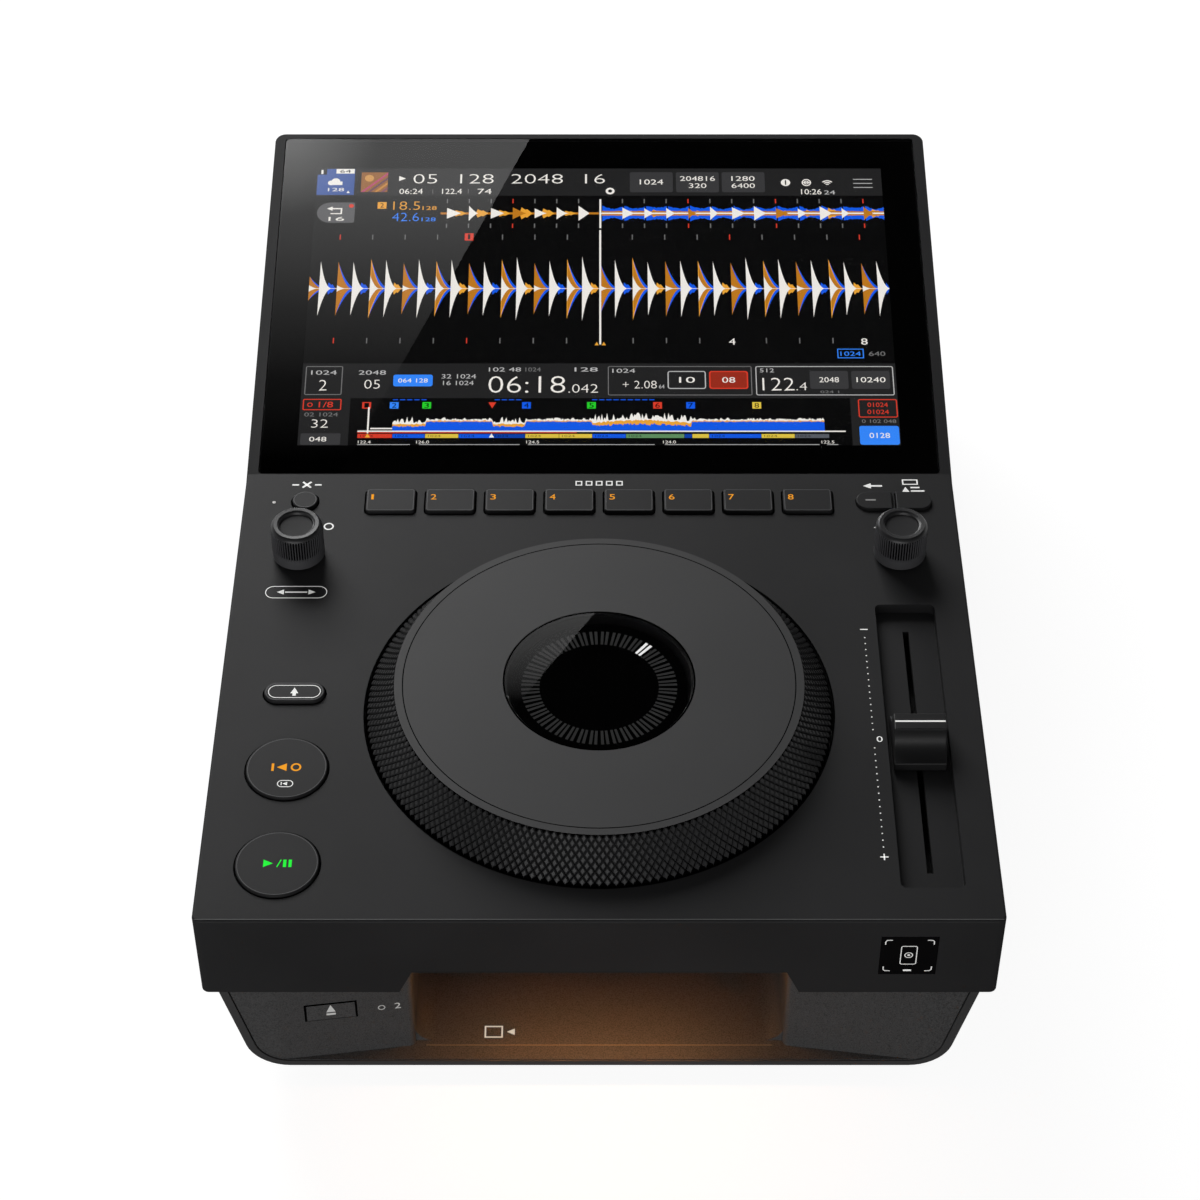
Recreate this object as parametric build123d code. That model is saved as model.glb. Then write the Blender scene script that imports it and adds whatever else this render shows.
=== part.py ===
from build123d import *
import math
import os

# A tabletop DJ player: a flat deck with a jog wheel, a tilted screen at the back and a shallow tub below.
# Millimetres. +Z is up, the front faces -Y, +X is the right-hand side seen from the front.
# The origin lies on the table under the middle of the player.

# ---- driving sizes of the body ----
body_width = 251.0
deck_length = 204.5
screen_slope = 166.4
screen_tilt = 10.36
fascia_height = 35.0
tub_drop = 42.3
foot_height = 7.2
shell_wall = 2.5
screen_wall = 4.5
tub_side_wall = 2.8
tub_floor = 2.2
tub_setback = 3.0
tub_seam_inset = 4.0
tub_taper = 0.232
tub_tongue = 3.5
tub_corner_r = 14.0
tub_rear_r = 6.0
front_corner_r = 2.5
rear_corner_r = 4.0
top_edge_r = 0.8

# ---- clearances ----
seat_gap = 0.1
panel_gap = 0.3
key_gap = 0.28
fit_gap = 0.05

# ---- levels worked out from the sizes ----
tilt = math.radians(screen_tilt)
body_depth = deck_length + screen_slope * math.cos(tilt)
front_y = -body_depth / 2
rear_y = body_depth / 2
crease_y = front_y + deck_length
tub_z = foot_height
skirt_z = tub_z + tub_drop
deck_z = skirt_z + fascia_height
under_deck_z = deck_z - shell_wall
rear_top_z = deck_z + screen_slope * math.sin(tilt)
half_width = body_width / 2
inner_half = half_width - shell_wall
tub_seam_half = half_width - tub_seam_inset
tub_front_y = front_y + tub_setback
tub_rear_y = rear_y - tub_setback
tub_floor_z = tub_z + tub_floor

# ---- screen ----
glass_inset = 4.2
glass_half = half_width - glass_inset
glass_from = 0.6
glass_to = 163.9
glass_thick = 1.9
glass_corner_r = 1.2
display_inset = 13.8
display_half = half_width - display_inset
display_from = 9.3
display_to = 153.7
display_thick = 4.4
bracket_thick = 1.2
bracket_margin = 5.5
bracket_lug = 14.0
bracket_window = (62.0, 20.0)
bracket_window_from = 30.0
board_thick = 1.6
display_board_size = (120.0, 60.0)
display_board_drop = 3.0
display_chip = (28.0, 28.0, 2.0)
standoff_r = 2.4

# ---- jog wheel ----
jog_v = 90.3
jog_well_r = 76.9
jog_rim_r = 76.2
jog_shoulder_r = 67.0
jog_plate_r = 64.0
jog_window_r = 31.4
jog_height = 13.4
jog_cone_foot = 1.2
jog_skirt = 6.5
jog_rim_wall = 3.0
jog_plate_thick = 2.0
jog_window_thick = 1.8
jog_display_r = 29.0
jog_display_level = 9.0
jog_display_thick = 3.0
jog_post_r = 6.0
jog_post_bore = 3.5
jog_disc_level = -0.5
jog_disc_thick = 3.0
jog_hub_r = 14.0
bearing_r = 11.0
bearing_wide = 7.0
bearing_ring = 1.6
ball_count = 10
jog_base_r = 80.0
jog_base_drop = 22.5
jog_base_thick = 2.5
jog_ear_r = 86.0
jog_ear_size = 8.0
encoder_disc_r = 24.0
encoder_disc_thick = 1.0
encoder_slots = 36

# ---- the strips beside the wheel, and the columns of keys, knobs and fader that stand in them ----
strip_x = (jog_well_r + shell_wall + inner_half) / 2
key_column_x = strip_x - 0.55
knob_column_x = strip_x + 2.7

# ---- keys ----
hot_cue_count = 8
hot_cue_v = 189.85
hot_cue_margin = 6.35
hot_cue_gap = 3.1
hot_cue_r = 1.6
key_proud = 1.2
play_proud = 0.9
key_travel = 0.6
play_travel = 1.0
key_flange = 1.0
key_flange_thick = 1.2
switch_size = 6.0
switch_height = 4.0
stem_r = 1.6
delete_at = (-knob_column_x + 0.2, 190.0)
delete_hole_r = 4.73
back_tag_v = 189.8
back_tag_x = knob_column_x + 0.05
back_tag_margin = 5.45
back_tag_size = (2 * (inner_half - back_tag_x - back_tag_margin), 9.5)
back_tag_rib = 0.8
hot_cue_row_half = back_tag_x - back_tag_size[0] / 2 - hot_cue_margin
hot_cue_pitch = 2 * hot_cue_row_half / hot_cue_count
hot_cue_hole = (hot_cue_pitch - hot_cue_gap, 12.2)
shift_at = (-key_column_x + 0.05, 96.5)
shift_size = (20.6, 9.2)
cue_at = (-key_column_x, 62.9)
play_at = (-key_column_x, 22.6)
round_hole_r = 13.43
standby_at = (-knob_column_x - 10.8, 189.7)
standby_r = 0.6

# ---- knobs ----
knob_x = knob_column_x
knob_v = 163.0
knob_height = 15.0
knob_base_r = 9.1
knob_top_r = 8.6
knob_dish_r = 5.75
knob_dish_depth = 0.9
knob_lift = 0.8
knob_travel = 0.5
knob_bore_depth = 10.0
shaft_r = 3.0
bushing_r = 4.5
encoder_size = 12.0
encoder_floor = 1.0

# ---- tempo fader ----
tempo_x = knob_column_x
tempo_v = 76.0
tempo_recess = (20.3, 125.0)
tempo_recess_r = 2.0
tempo_recess_depth = 4.0
tempo_travel = 50.0
tempo_slot_wide = 2.0
tempo_cap_size = (17.1, 21.4)
tempo_ridge = 7.2
tempo_cap_top = 8.8
tempo_cap_foot = 0.6
tempo_scoop = 2.0
tempo_lever = (1.2, 6.0)
tempo_end_gap = 0.4
lever_rise = 4.0
tempo_frame_size = (14.0, 121.0, 12.0)
tempo_frame_wall = 1.2
rod_r = 1.0
rod_spread = 3.2
carriage_size = (10.0, 9.0, 5.0)

# ---- front panel and bay ----
facet_inset = 22.5
facet_outer_x = half_width - facet_inset
bay_half = 60.0
facet_depth = 5.7
rim_lip = 0.4
seat_depth = 1.0
ledge_rise = 0.3
panel_thick = 2.5
panel_top_drop = 28.5
bay_corner_r = 6.5
bay_lip_r = 2.0
bay_ceiling_drop = 25.0
bay_wall = 2.0
bay_seam = 46.0
bay_depth = 78.0
notch_half_top = 58.8
notch_half_bottom = 63.0
notch_height = 9.8
eject_inset = 16.9
eject_x = facet_outer_x - eject_inset
eject_size = (15.6, 7.1)
eject_drop = 52.6
eject_travel = 1.0
eject_top_set = 1.0
light_bar_size = (100.0, 4.0, 2.0)
usb_x = 22.0
usb_z_up = 22.0
usb_size = (13.1, 5.7)
usb_long = 14.0
usb_board_margin = 8.0
usb_board_half_height = 16.0
usb_plug_size = (16.0, 5.0, 6.0)
usb_plug_drop = 10.0
usb_column_inset = 12.0
usb_column_rise = 10.0
touch_inset = 29.2
touch_x = half_width - touch_inset
touch_size = (17.8, 18.3)
touch_drop = 7.5
touch_thick = 1.4

# ---- rear ----
rear_window_margin = 22.5
rear_window = (body_width - 2 * rear_window_margin, 33.0)
rear_window_z = 56.0
rear_recess = 9.0
rear_sheet = 1.2
rear_flange = 6.0
inlet_inset = 25.0
inlet_x = rear_window[0] / 2 - inlet_inset
inlet_size = (27.0, 20.0)
inlet_depth = 18.0
inlet_cavity = (22.5, 14.5, 15.0)
inlet_pins = ((-7.0, -2.0), (7.0, -2.0), (0.0, 2.6))
inlet_pin_half = (1.0, 2.0)
rocker_spacing = 28.0
rocker_x = inlet_x - rocker_spacing
rocker_size = (12.0, 19.0)
rocker_swing = 20.0
rca_insets = (15.0, 31.0, 53.0)
rca_x = tuple(inset - rear_window[0] / 2 for inset in rca_insets)
rca_r = 4.2
rca_bore = 1.6
rca_long = 7.5
network_x = -18.0
network_size = (16.0, 13.5)
network_cavity = (12.0, 8.0, 12.0)
host_x = 12.0
host_size = (12.0, 11.0)
socket_back = 12.0

# ---- boards, screws and feet ----
key_board_drop = 10.5
key_board_edge = inner_half - 5.0
key_board_left_to = -(jog_well_r + shell_wall + 6.6)
key_board_right_from = jog_well_r + shell_wall + 12.6
key_board_front = 10.0
key_board_back = (174.0, 198.0)
key_board_right_front = 150.0
key_post_x = key_board_edge - 4.0
key_post_places = (
    (-key_post_x, 45.0),
    (-key_post_x, 122.0),
    (-key_post_x, 176.0),
    (-40.0, 179.0),
    (40.0, 179.0),
    (key_post_x, 176.0),
)
main_board_size = (150.0, 112.0)
main_board_v = 152.0
power_board_size = (78.0, 92.0)
power_board_v = 282.0
power_board_x = 38.0
board_lift = 5.0
# components on the boards: middle x and y from the board's middle, width, depth, height
main_board_blocks = (
    (0.0, 15.0, 40.0, 40.0, 3.0),
    (50.0, -5.0, 20.0, 30.0, 2.0),
    (-52.0, 0.0, 24.0, 24.0, 8.0),
    (0.0, 50.5, 140.0, 5.0, 6.0),
)
power_board_blocks = ((0.0, -2.0, 28.0, 28.0, 22.0), (28.0, 23.0, 12.0, 26.0, 14.0))
capacitor_r = 7.0
capacitor_height = 20.0
capacitor_pitch = 22.0
jog_base_hole_ring = 52.0
jog_base_hole_r = 15.0
screw_r = 1.5
screw_head_r = 2.8
screw_head = 2.0
screw_long = 16.0
boss_r = 4.2
tub_boss_top = 22.0
front_bosses = ((80.0, 24.0), (84.0, 168.0))
side_bosses = ((92.0, 240.0), (92.0, 330.0))
side_boss_top = 70.0
foot_r = 10.0
foot_inset = 37.5
foot_x = half_width - foot_inset
foot_places = ((foot_x, 42.0), (foot_x, 347.0))
vent_size = (30.0, 2.4)
vent_count = 8
vent_pitch = 6.0
vent_x = 50.0


# ---- small helpers ----
def block(x0, x1, y0, y1, z0, z1):
    """A box between two corners."""
    return Pos((x0 + x1) / 2, (y0 + y1) / 2, (z0 + z1) / 2) * Box(x1 - x0, y1 - y0, z1 - z0)


def rod(x, y, z0, z1, radius):
    """An upright cylinder."""
    return Pos(x, y, (z0 + z1) / 2) * Cylinder(radius, z1 - z0)


def rod_y(x, z, y0, y1, radius):
    """A cylinder that runs from front to back."""
    return Pos(x, (y0 + y1) / 2, z) * Rot(90, 0, 0) * Cylinder(radius, y1 - y0)


def ring(x, y, z0, z1, outer, inner):
    """An upright tube."""
    return rod(x, y, z0, z1, outer) - rod(x, y, z0 - 1, z1 + 1, inner)


def pad(x, y, z0, z1, size, radius):
    """An upright block with rounded corners."""
    return extrude(Pos(x, y, z0) * RectangleRounded(size[0], size[1], radius), z1 - z0)


def turned(points, y):
    """A body of revolution about the upright axis through x = 0 and the given y."""
    face = Plane.XZ * Polygon(*points, align=None)
    return Pos(0, y, 0) * revolve(face, Axis.Z)


def prism_xy(points, z0, z1):
    """A block whose outline is given as seen from above."""
    face = Pos(0, 0, z0) * Polygon(*points, align=None)
    return extrude(face, z1 - z0, dir=(0, 0, 1))


def prism_xz(points, y0, y1):
    """A block whose outline is given as seen from the front."""
    plane = Plane(origin=(0, y0, 0), x_dir=(1, 0, 0), z_dir=(0, -1, 0))
    return extrude(plane * Polygon(*points, align=None), y1 - y0, dir=(0, 1, 0))


def prism_yz(points, x0, x1):
    """A block whose outline is given as seen from the side."""
    plane = Plane(origin=(x0, 0, 0), x_dir=(0, 1, 0), z_dir=(1, 0, 0))
    return extrude(plane * Polygon(*points, align=None), x1 - x0, dir=(1, 0, 0))


def from_front(distance):
    """The y of a place measured back from the front edge."""
    return front_y + distance


def both_sides(shape):
    """A shape and its mirror image about the middle plane."""
    return shape + mirror(shape, Plane.YZ)


def save(name, shape):
    solids = shape.solids()
    out = solids[0] if len(solids) == 1 else Compound(children=list(solids))
    export_step(out, f"parts/{name}.step")


# ---- levels shared by several pieces ----
board_top_z = deck_z - key_board_drop
switch_top_z = board_top_z + switch_height
flange_top_z = under_deck_z - panel_gap
jog_y = from_front(jog_v)
jog_top_z = deck_z + jog_height
jog_base_z = deck_z - jog_base_drop
jog_base_top_z = jog_base_z + jog_base_thick
jog_disc_top_z = deck_z + jog_disc_level
jog_disc_z = jog_disc_top_z - jog_disc_thick
bearing_z = jog_base_top_z + 7.5
panel_y = tub_front_y + rim_lip + seat_gap
panel_low_z = tub_floor_z - seat_depth + seat_gap
bay_floor_z = tub_floor_z + ledge_rise
bay_ceiling_z = deck_z - bay_ceiling_drop
knob_y = from_front(knob_v)
tempo_y = from_front(tempo_v)
tempo_floor_z = deck_z - tempo_recess_depth
screen_plane = Pos(0, crease_y, deck_z) * Rot(screen_tilt, 0, 0)
hot_cue_places = [
    ((i - (hot_cue_count - 1) / 2) * hot_cue_pitch, hot_cue_v) for i in range(hot_cue_count)
]


# ---- the casing ----
def cover_outside():
    """The closed outer form of the top cover."""
    outline = [
        (front_y, skirt_z),
        (front_y, deck_z),
        (crease_y, deck_z),
        (rear_y, rear_top_z),
        (rear_y, skirt_z),
    ]
    form = prism_yz(outline, -half_width, half_width)
    uprights = form.edges().filter_by(Axis.Z)
    form = fillet(uprights.filter_by_position(Axis.Y, front_y - 1, front_y + 1), front_corner_r)
    uprights = form.edges().filter_by(Axis.Z)
    form = fillet(uprights.filter_by_position(Axis.Y, rear_y - 1, rear_y + 1), rear_corner_r)
    front_top = [
        e
        for e in form.edges()
        if abs(e.center().Z - deck_z) < 0.01 and e.center().Y < crease_y - 1
    ]
    return fillet(front_top, top_edge_r)


def cover_inside():
    """The hollow of the top cover, open below."""
    slope = math.tan(tilt)
    screen_drop = screen_wall / math.cos(tilt)
    crease_in = crease_y + (screen_drop - shell_wall) / slope
    rear_in = rear_y - shell_wall
    outline = [
        (front_y + shell_wall, skirt_z - 1),
        (front_y + shell_wall, under_deck_z),
        (crease_in, under_deck_z),
        (rear_in, deck_z - screen_drop + slope * (rear_in - crease_y)),
        (rear_in, skirt_z - 1),
    ]
    return prism_yz(outline, -inner_half, inner_half)


def key_holes():
    """Every hole that a key, knob or light passes through."""
    z0 = under_deck_z - 1
    z1 = deck_z + 1
    cuts = []
    for x, v in hot_cue_places:
        cuts.append(pad(x, from_front(v), z0, z1, hot_cue_hole, hot_cue_r))
    for (x, v), radius in (
        (delete_at, delete_hole_r),
        (cue_at, round_hole_r),
        (play_at, round_hole_r),
        (standby_at, standby_r + fit_gap),
        ((knob_x, knob_v), bushing_r + key_gap),
        ((-knob_x, knob_v), bushing_r + key_gap),
    ):
        cuts.append(rod(x, from_front(v), z0, z1, radius))
    cuts.append(pad(shift_at[0], from_front(shift_at[1]), z0, z1, shift_size, shift_size[1] / 2 - 0.01))
    cuts.append(back_tag_half(-1, 0, z0, z1))
    cuts.append(back_tag_half(1, 0, z0, z1))
    return cuts


def back_tag_half(side, inset, z0, z1):
    """One half of the pill that the back and tag keys share; side is -1 for the left half."""
    size = (back_tag_size[0] - 2 * inset, back_tag_size[1] - 2 * inset)
    y = from_front(back_tag_v)
    pill = pad(back_tag_x, y, z0, z1, size, size[1] / 2 - 0.01)
    near = back_tag_x + side * (back_tag_rib / 2 + inset)
    far = back_tag_x + side * back_tag_size[0]
    keep = block(min(near, far), max(near, far), y - size[1], y + size[1], z0, z1)
    return pill & keep


def case_bosses():
    """Screw posts under the deck, down to the posts of the tub."""
    gap_z = tub_boss_top + panel_gap
    posts = []
    for side in (-1, 1):
        for x, v in front_bosses:
            posts.append(rod(side * x, from_front(v), gap_z, under_deck_z + 0.5, boss_r))
        for x, v in side_bosses:
            y = from_front(v)
            posts.append(rod(side * x, y, gap_z, side_boss_top, boss_r))
            web = block(x, inner_half + 0.5, y - 1.5, y + 1.5, skirt_z + tub_tongue + 2, side_boss_top)
            posts.append(web if side > 0 else mirror(web, Plane.YZ))
    return posts


def screw_places():
    return [(side * x, from_front(v)) for side in (-1, 1) for x, v in front_bosses + side_bosses]


def jog_ear_places():
    reach = jog_ear_r * math.sqrt(0.5)
    return [(sx * reach, jog_y + sy * reach) for sx in (-1, 1) for sy in (-1, 1)]


def key_board_posts():
    z0 = board_top_z + seat_gap
    return [rod(x, from_front(v), z0, under_deck_z + 0.5, standoff_r) for x, v in key_post_places]


def make_top_cover():
    cover = cover_outside() - cover_inside()
    # the recess of the tempo fader hangs below the deck as a tray
    tray = (tempo_recess[0] + 2 * shell_wall, tempo_recess[1] + 2 * shell_wall)
    cover += pad(tempo_x, tempo_y, tempo_floor_z - shell_wall, under_deck_z + 0.5, tray, tempo_recess_r)
    skirt_foot = under_deck_z - jog_skirt + 1
    cover += ring(0, jog_y, skirt_foot, under_deck_z + 0.5, jog_well_r + shell_wall, jog_well_r)
    for post in case_bosses() + key_board_posts():
        cover += post
    for x, y in jog_ear_places():
        cover += rod(x, y, jog_base_top_z + seat_gap, under_deck_z + 0.5, boss_r)
    cover -= pad(tempo_x, tempo_y, tempo_floor_z, deck_z + 1, tempo_recess, tempo_recess_r)
    slot_half = tempo_travel + tempo_lever[1] / 2 + tempo_end_gap
    cover -= block(
        tempo_x - tempo_slot_wide / 2,
        tempo_x + tempo_slot_wide / 2,
        tempo_y - slot_half,
        tempo_y + slot_half,
        tempo_floor_z - shell_wall - 1,
        tempo_floor_z + 1,
    )
    cover -= rod(0, jog_y, under_deck_z - 1, deck_z + 1, jog_well_r)
    for cut in key_holes():
        cover -= cut
    for x, y in screw_places():
        cover -= rod(x, y, tub_boss_top, tub_z + screw_long + 6, screw_r + 0.02)
    # pocket for the glass and the window behind it
    cover -= glass_slab(panel_gap, -glass_thick - seat_gap, 5)
    cover -= screen_plane * block(
        -display_half - panel_gap,
        display_half + panel_gap,
        display_from - panel_gap,
        display_to + panel_gap,
        -screen_wall - 5,
        5,
    )
    # notch over the bay, pocket of the touch window, window for the rear panel
    notch = [
        (-notch_half_bottom, skirt_z),
        (-notch_half_top, skirt_z + notch_height),
        (notch_half_top, skirt_z + notch_height),
        (notch_half_bottom, skirt_z),
        (notch_half_bottom, skirt_z - 1),
        (-notch_half_bottom, skirt_z - 1),
    ]
    cover -= prism_xz(notch, front_y - 1, front_y + shell_wall + 1)
    cover -= block(
        touch_x - touch_size[0] / 2 - seat_gap,
        touch_x + touch_size[0] / 2 + seat_gap,
        front_y - 1,
        front_y + touch_thick + seat_gap,
        deck_z - touch_drop - touch_size[1] - seat_gap,
        deck_z - touch_drop + seat_gap,
    )
    cover -= block(
        -rear_window[0] / 2,
        rear_window[0] / 2,
        rear_y - shell_wall - 1,
        rear_y + 1,
        rear_window_z,
        rear_window_z + rear_window[1],
    )
    return cover


def tub_half_at(z):
    return tub_seam_half + (z - skirt_z) * tub_taper


def tub_form(side_inset, floor_inset, corner_r, y0, y1, z_top):
    """The tapered trough of the tub, moved inwards by the given insets."""
    z0 = tub_z + floor_inset
    low = tub_half_at(z0) - side_inset
    high = tub_half_at(z_top) - side_inset
    form = prism_xz([(-low, z0), (low, z0), (high, z_top), (-high, z_top)], y0, y1)
    return fillet(form.edges().filter_by(Axis.Y).group_by(Axis.Z)[0], corner_r)


def make_bottom_case():
    top = skirt_z + tub_tongue
    tub = tub_form(0, 0, tub_corner_r, tub_front_y, tub_rear_y, top)
    rear_low = tub.faces().sort_by(Axis.Y)[-1].edges().group_by(Axis.Z)[0]
    tub = fillet(rear_low, tub_rear_r)
    inner_r = tub_corner_r - tub_side_wall
    tub -= tub_form(tub_side_wall, tub_floor, inner_r, tub_front_y - 1, tub_rear_y - tub_side_wall, top + 1)
    for x, y in screw_places():
        tub += rod(x, y, tub_z + 1, tub_boss_top, boss_r)
    for x, y in board_post_places():
        tub += rod(x, y, tub_z + 1, tub_floor_z + board_lift, standoff_r)
    tub -= panel_seat(seat_gap, panel_low_z - seat_gap, tub_floor_z + 0.5)
    for x, y in screw_places():
        tub -= rod(x, y, tub_z - 1, tub_boss_top + 1, screw_r + 0.2)
        tub -= rod(x, y, tub_z - 1, tub_z + screw_head + 0.4, screw_head_r + 0.3)
    for i in range(vent_count):
        y = from_front(main_board_v) + (i - (vent_count - 1) / 2) * vent_pitch
        for x in (-vent_x, vent_x):
            tub -= pad(x, y, tub_z - 1, tub_floor_z + 1, vent_size, vent_size[1] / 2 - 0.01)
    return tub


def board_post_places():
    places = []
    for size, x, v in ((main_board_size, 0, main_board_v), (power_board_size, power_board_x, power_board_v)):
        for sx in (-1, 1):
            for sy in (-1, 1):
                places.append((x + sx * (size[0] / 2 - 5), from_front(v) + sy * (size[1] / 2 - 5)))
    return places


def facet_frame():
    """Middle of the eject opening and the turn of the left slanted face, in degrees."""
    run = facet_outer_x - bay_half
    share = (facet_outer_x - eject_x) / run
    return -eject_x, panel_y + facet_depth * share, math.degrees(math.atan2(facet_depth, run))


def bay_hollow(y0, y1):
    """The room of the bay, with round corners at its floor."""
    hollow = block(-bay_half, bay_half, y0, y1, bay_floor_z, bay_ceiling_z)
    return fillet(hollow.edges().filter_by(Axis.Y).group_by(Axis.Z)[0], bay_corner_r)


def panel_seat(grow, z0, z1):
    """The shallow seat in the tub floor that the ledge and the bay stand in."""
    y0 = panel_y - grow
    y_ledge = panel_y + facet_depth + bay_lip_r + 1 + grow
    ledge = block(-facet_outer_x - grow, facet_outer_x + grow, y0, y_ledge, z0, z1)
    wall_out = bay_half + bay_wall + grow
    return ledge + block(-wall_out, wall_out, y0, from_front(bay_depth) + bay_wall + grow, z0, z1)


def make_front_panel():
    """Slanted faces beside the bay, the ledge before them and the front half of the bay."""
    y_bay = panel_y + facet_depth
    y_seam = from_front(bay_seam)
    top = deck_z - panel_top_drop
    header_top = bay_ceiling_z + bay_wall
    wall_out = bay_half + bay_wall
    left = [
        (-half_width, panel_y),
        (-facet_outer_x, panel_y),
        (-bay_half, y_bay),
        (-bay_half, y_seam),
        (-wall_out, y_seam),
        (-wall_out, y_bay + panel_thick),
        (-facet_outer_x, panel_y + panel_thick),
        (-half_width, panel_y + panel_thick),
    ]
    side = prism_xy(left, panel_low_z, top)
    lip = side.edges().filter_by(Axis.Z).sort_by_distance((-bay_half, y_bay, panel_low_z))[0]
    panel = both_sides(fillet(lip, bay_lip_r))
    # floor and ceiling of the bay, with round corners that start behind the round lips
    y_round = y_bay + bay_lip_r
    tunnel = block(-wall_out, wall_out, y_round, y_seam, panel_low_z, header_top)
    panel += tunnel - bay_hollow(y_round - 1, y_seam + 1)
    panel += block(-facet_outer_x, facet_outer_x, panel_y, y_round + 1, panel_low_z, bay_floor_z)
    panel += block(-wall_out - 4, wall_out + 4, y_bay + 1, y_round + 1, bay_ceiling_z, header_top)
    panel += both_sides(block(-wall_out - 4, -bay_half, y_round, y_round + 1, top - 2, header_top))
    # keep inside the rim of the tub, above its floor and down in the seat cut into that floor
    inner_r = tub_corner_r - tub_side_wall - panel_gap
    room = tub_form(
        tub_side_wall + panel_gap, tub_floor + seat_gap, inner_r, tub_front_y - 1, y_seam + 1, header_top + 1
    )
    room += panel_seat(0, panel_low_z, tub_floor_z + 1)
    panel = panel & room
    return panel - eject_slot() + eject_sleeve()


def eject_placed(shape):
    """Puts a shape made about the origin, facing -Y, on the left slanted face."""
    x, y, slant = facet_frame()
    return Pos(x, y, deck_z - eject_drop) * Rot(0, 0, slant) * shape


def eject_slot():
    w = eject_size[0] / 2 + key_gap
    h = eject_size[1] / 2 + key_gap
    return eject_placed(block(-w, w, -3, 9.5, -h, h))


def eject_sleeve():
    """Guide behind the panel that the eject key slides in."""
    w = eject_size[0] / 2 + key_gap
    h = eject_size[1] / 2 + key_gap
    outer = block(-w - 1.2, w + 1.2, panel_thick - 0.5, 9.5, -h - 1.2, h + 1.2)
    return eject_placed(outer - block(-w, w, -3, 10, -h, h))


def make_eject_key():
    w = eject_size[0] / 2
    h = eject_size[1] / 2
    face = [(0, -h), (eject_top_set, h), (5.0, h), (5.0, -h)]
    key = prism_yz(face, -w, w)
    key += block(-stem_r, stem_r, 4.5, 6.6, -stem_r, stem_r)
    return eject_placed(key)


def make_usb_bay():
    """Back part of the bay with the wall that the USB sockets come through."""
    y0 = from_front(bay_seam) + seat_gap
    y1 = from_front(bay_depth)
    out = bay_half + bay_wall
    shell = block(-out, out, y0, y1 + bay_wall, panel_low_z, bay_ceiling_z + bay_wall)
    shell -= bay_hollow(y0 - 1, y1)
    for x in (-usb_x, usb_x):
        w = usb_size[0] / 2 + seat_gap
        h = usb_size[1] / 2 + seat_gap
        z = bay_floor_z + usb_z_up
        shell -= block(x - w, x + w, y1 - 1, y1 + bay_wall + 1, z - h, z + h)
    return shell


def make_usb_sockets():
    parts = []
    y0 = from_front(bay_depth) - 1.0
    z = bay_floor_z + usb_z_up
    for x in (-usb_x, usb_x):
        w = usb_size[0] / 2
        h = usb_size[1] / 2
        shell = block(x - w, x + w, y0, y0 + usb_long, z - h, z + h)
        shell -= block(x - w + 0.4, x + w - 0.4, y0 - 1, y0 + usb_long - 2, z - h + 0.4, z + h - 0.4)
        shell += block(x - w + 1.2, x + w - 1.2, y0 + 0.8, y0 + usb_long - 1, z + 0.4, z + h - 0.7)
        parts.append(shell)
    return parts[0] + parts[1]


def make_usb_board():
    y0 = from_front(bay_depth) - 1.0 + usb_long + seat_gap
    z = bay_floor_z + usb_z_up
    wide = bay_half - usb_board_margin
    tall = usb_board_half_height
    y1 = y0 + board_thick
    board = block(-wide, wide, y0, y1, z - tall, z + tall)
    w, d, h = usb_plug_size
    z_plug = z - usb_plug_drop
    board += block(-w / 2, w / 2, y1, y1 + d, z_plug - h / 2, z_plug + h / 2)
    # two short columns hold the board to the back of the bay
    back = from_front(bay_depth) + bay_wall + seat_gap
    column_x = bay_half - usb_column_inset
    for x in (-column_x, column_x):
        board += rod_y(x, z + usb_column_rise, back, y0 + 0.5, standoff_r)
    return board


def make_light_bar():
    w, d, h = light_bar_size
    y = panel_y + facet_depth + 6.0
    z = bay_ceiling_z - seat_gap
    return block(-w / 2, w / 2, y, y + d, z - h, z)


def make_touch_window():
    w = touch_size[0] / 2
    top = deck_z - touch_drop
    return block(touch_x - w, touch_x + w, front_y, front_y + touch_thick, top - touch_size[1], top)


def make_touch_antenna():
    w = touch_size[0] / 2
    y0 = front_y + shell_wall + seat_gap
    top = deck_z - touch_drop
    board = block(touch_x - w, touch_x + w, y0, y0 + 1.0, top - touch_size[1] + 1, top)
    return board - block(touch_x - w + 4, touch_x + w - 4, y0 - 1, y0 + 2, top - touch_size[1] + 5, top - 4)


# ---- screen ----
def glass_slab(grow, low, high):
    """A slab with the outline of the glass, between two heights above the slope."""
    slab = block(-glass_half - grow, glass_half + grow, glass_from - grow, glass_to + grow, low, high)
    return screen_plane * fillet(slab.edges().filter_by(Axis.Z), glass_corner_r + grow)


def make_screen_glass():
    return glass_slab(0, -glass_thick, -fit_gap)


def make_display_panel():
    top = -glass_thick - 2 * seat_gap
    return screen_plane * block(
        -display_half, display_half, display_from, display_to, top - display_thick, top
    )


def bracket_level():
    """Height of the bracket's upper face, measured square to the glass."""
    return -glass_thick - 3 * seat_gap - display_thick


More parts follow.
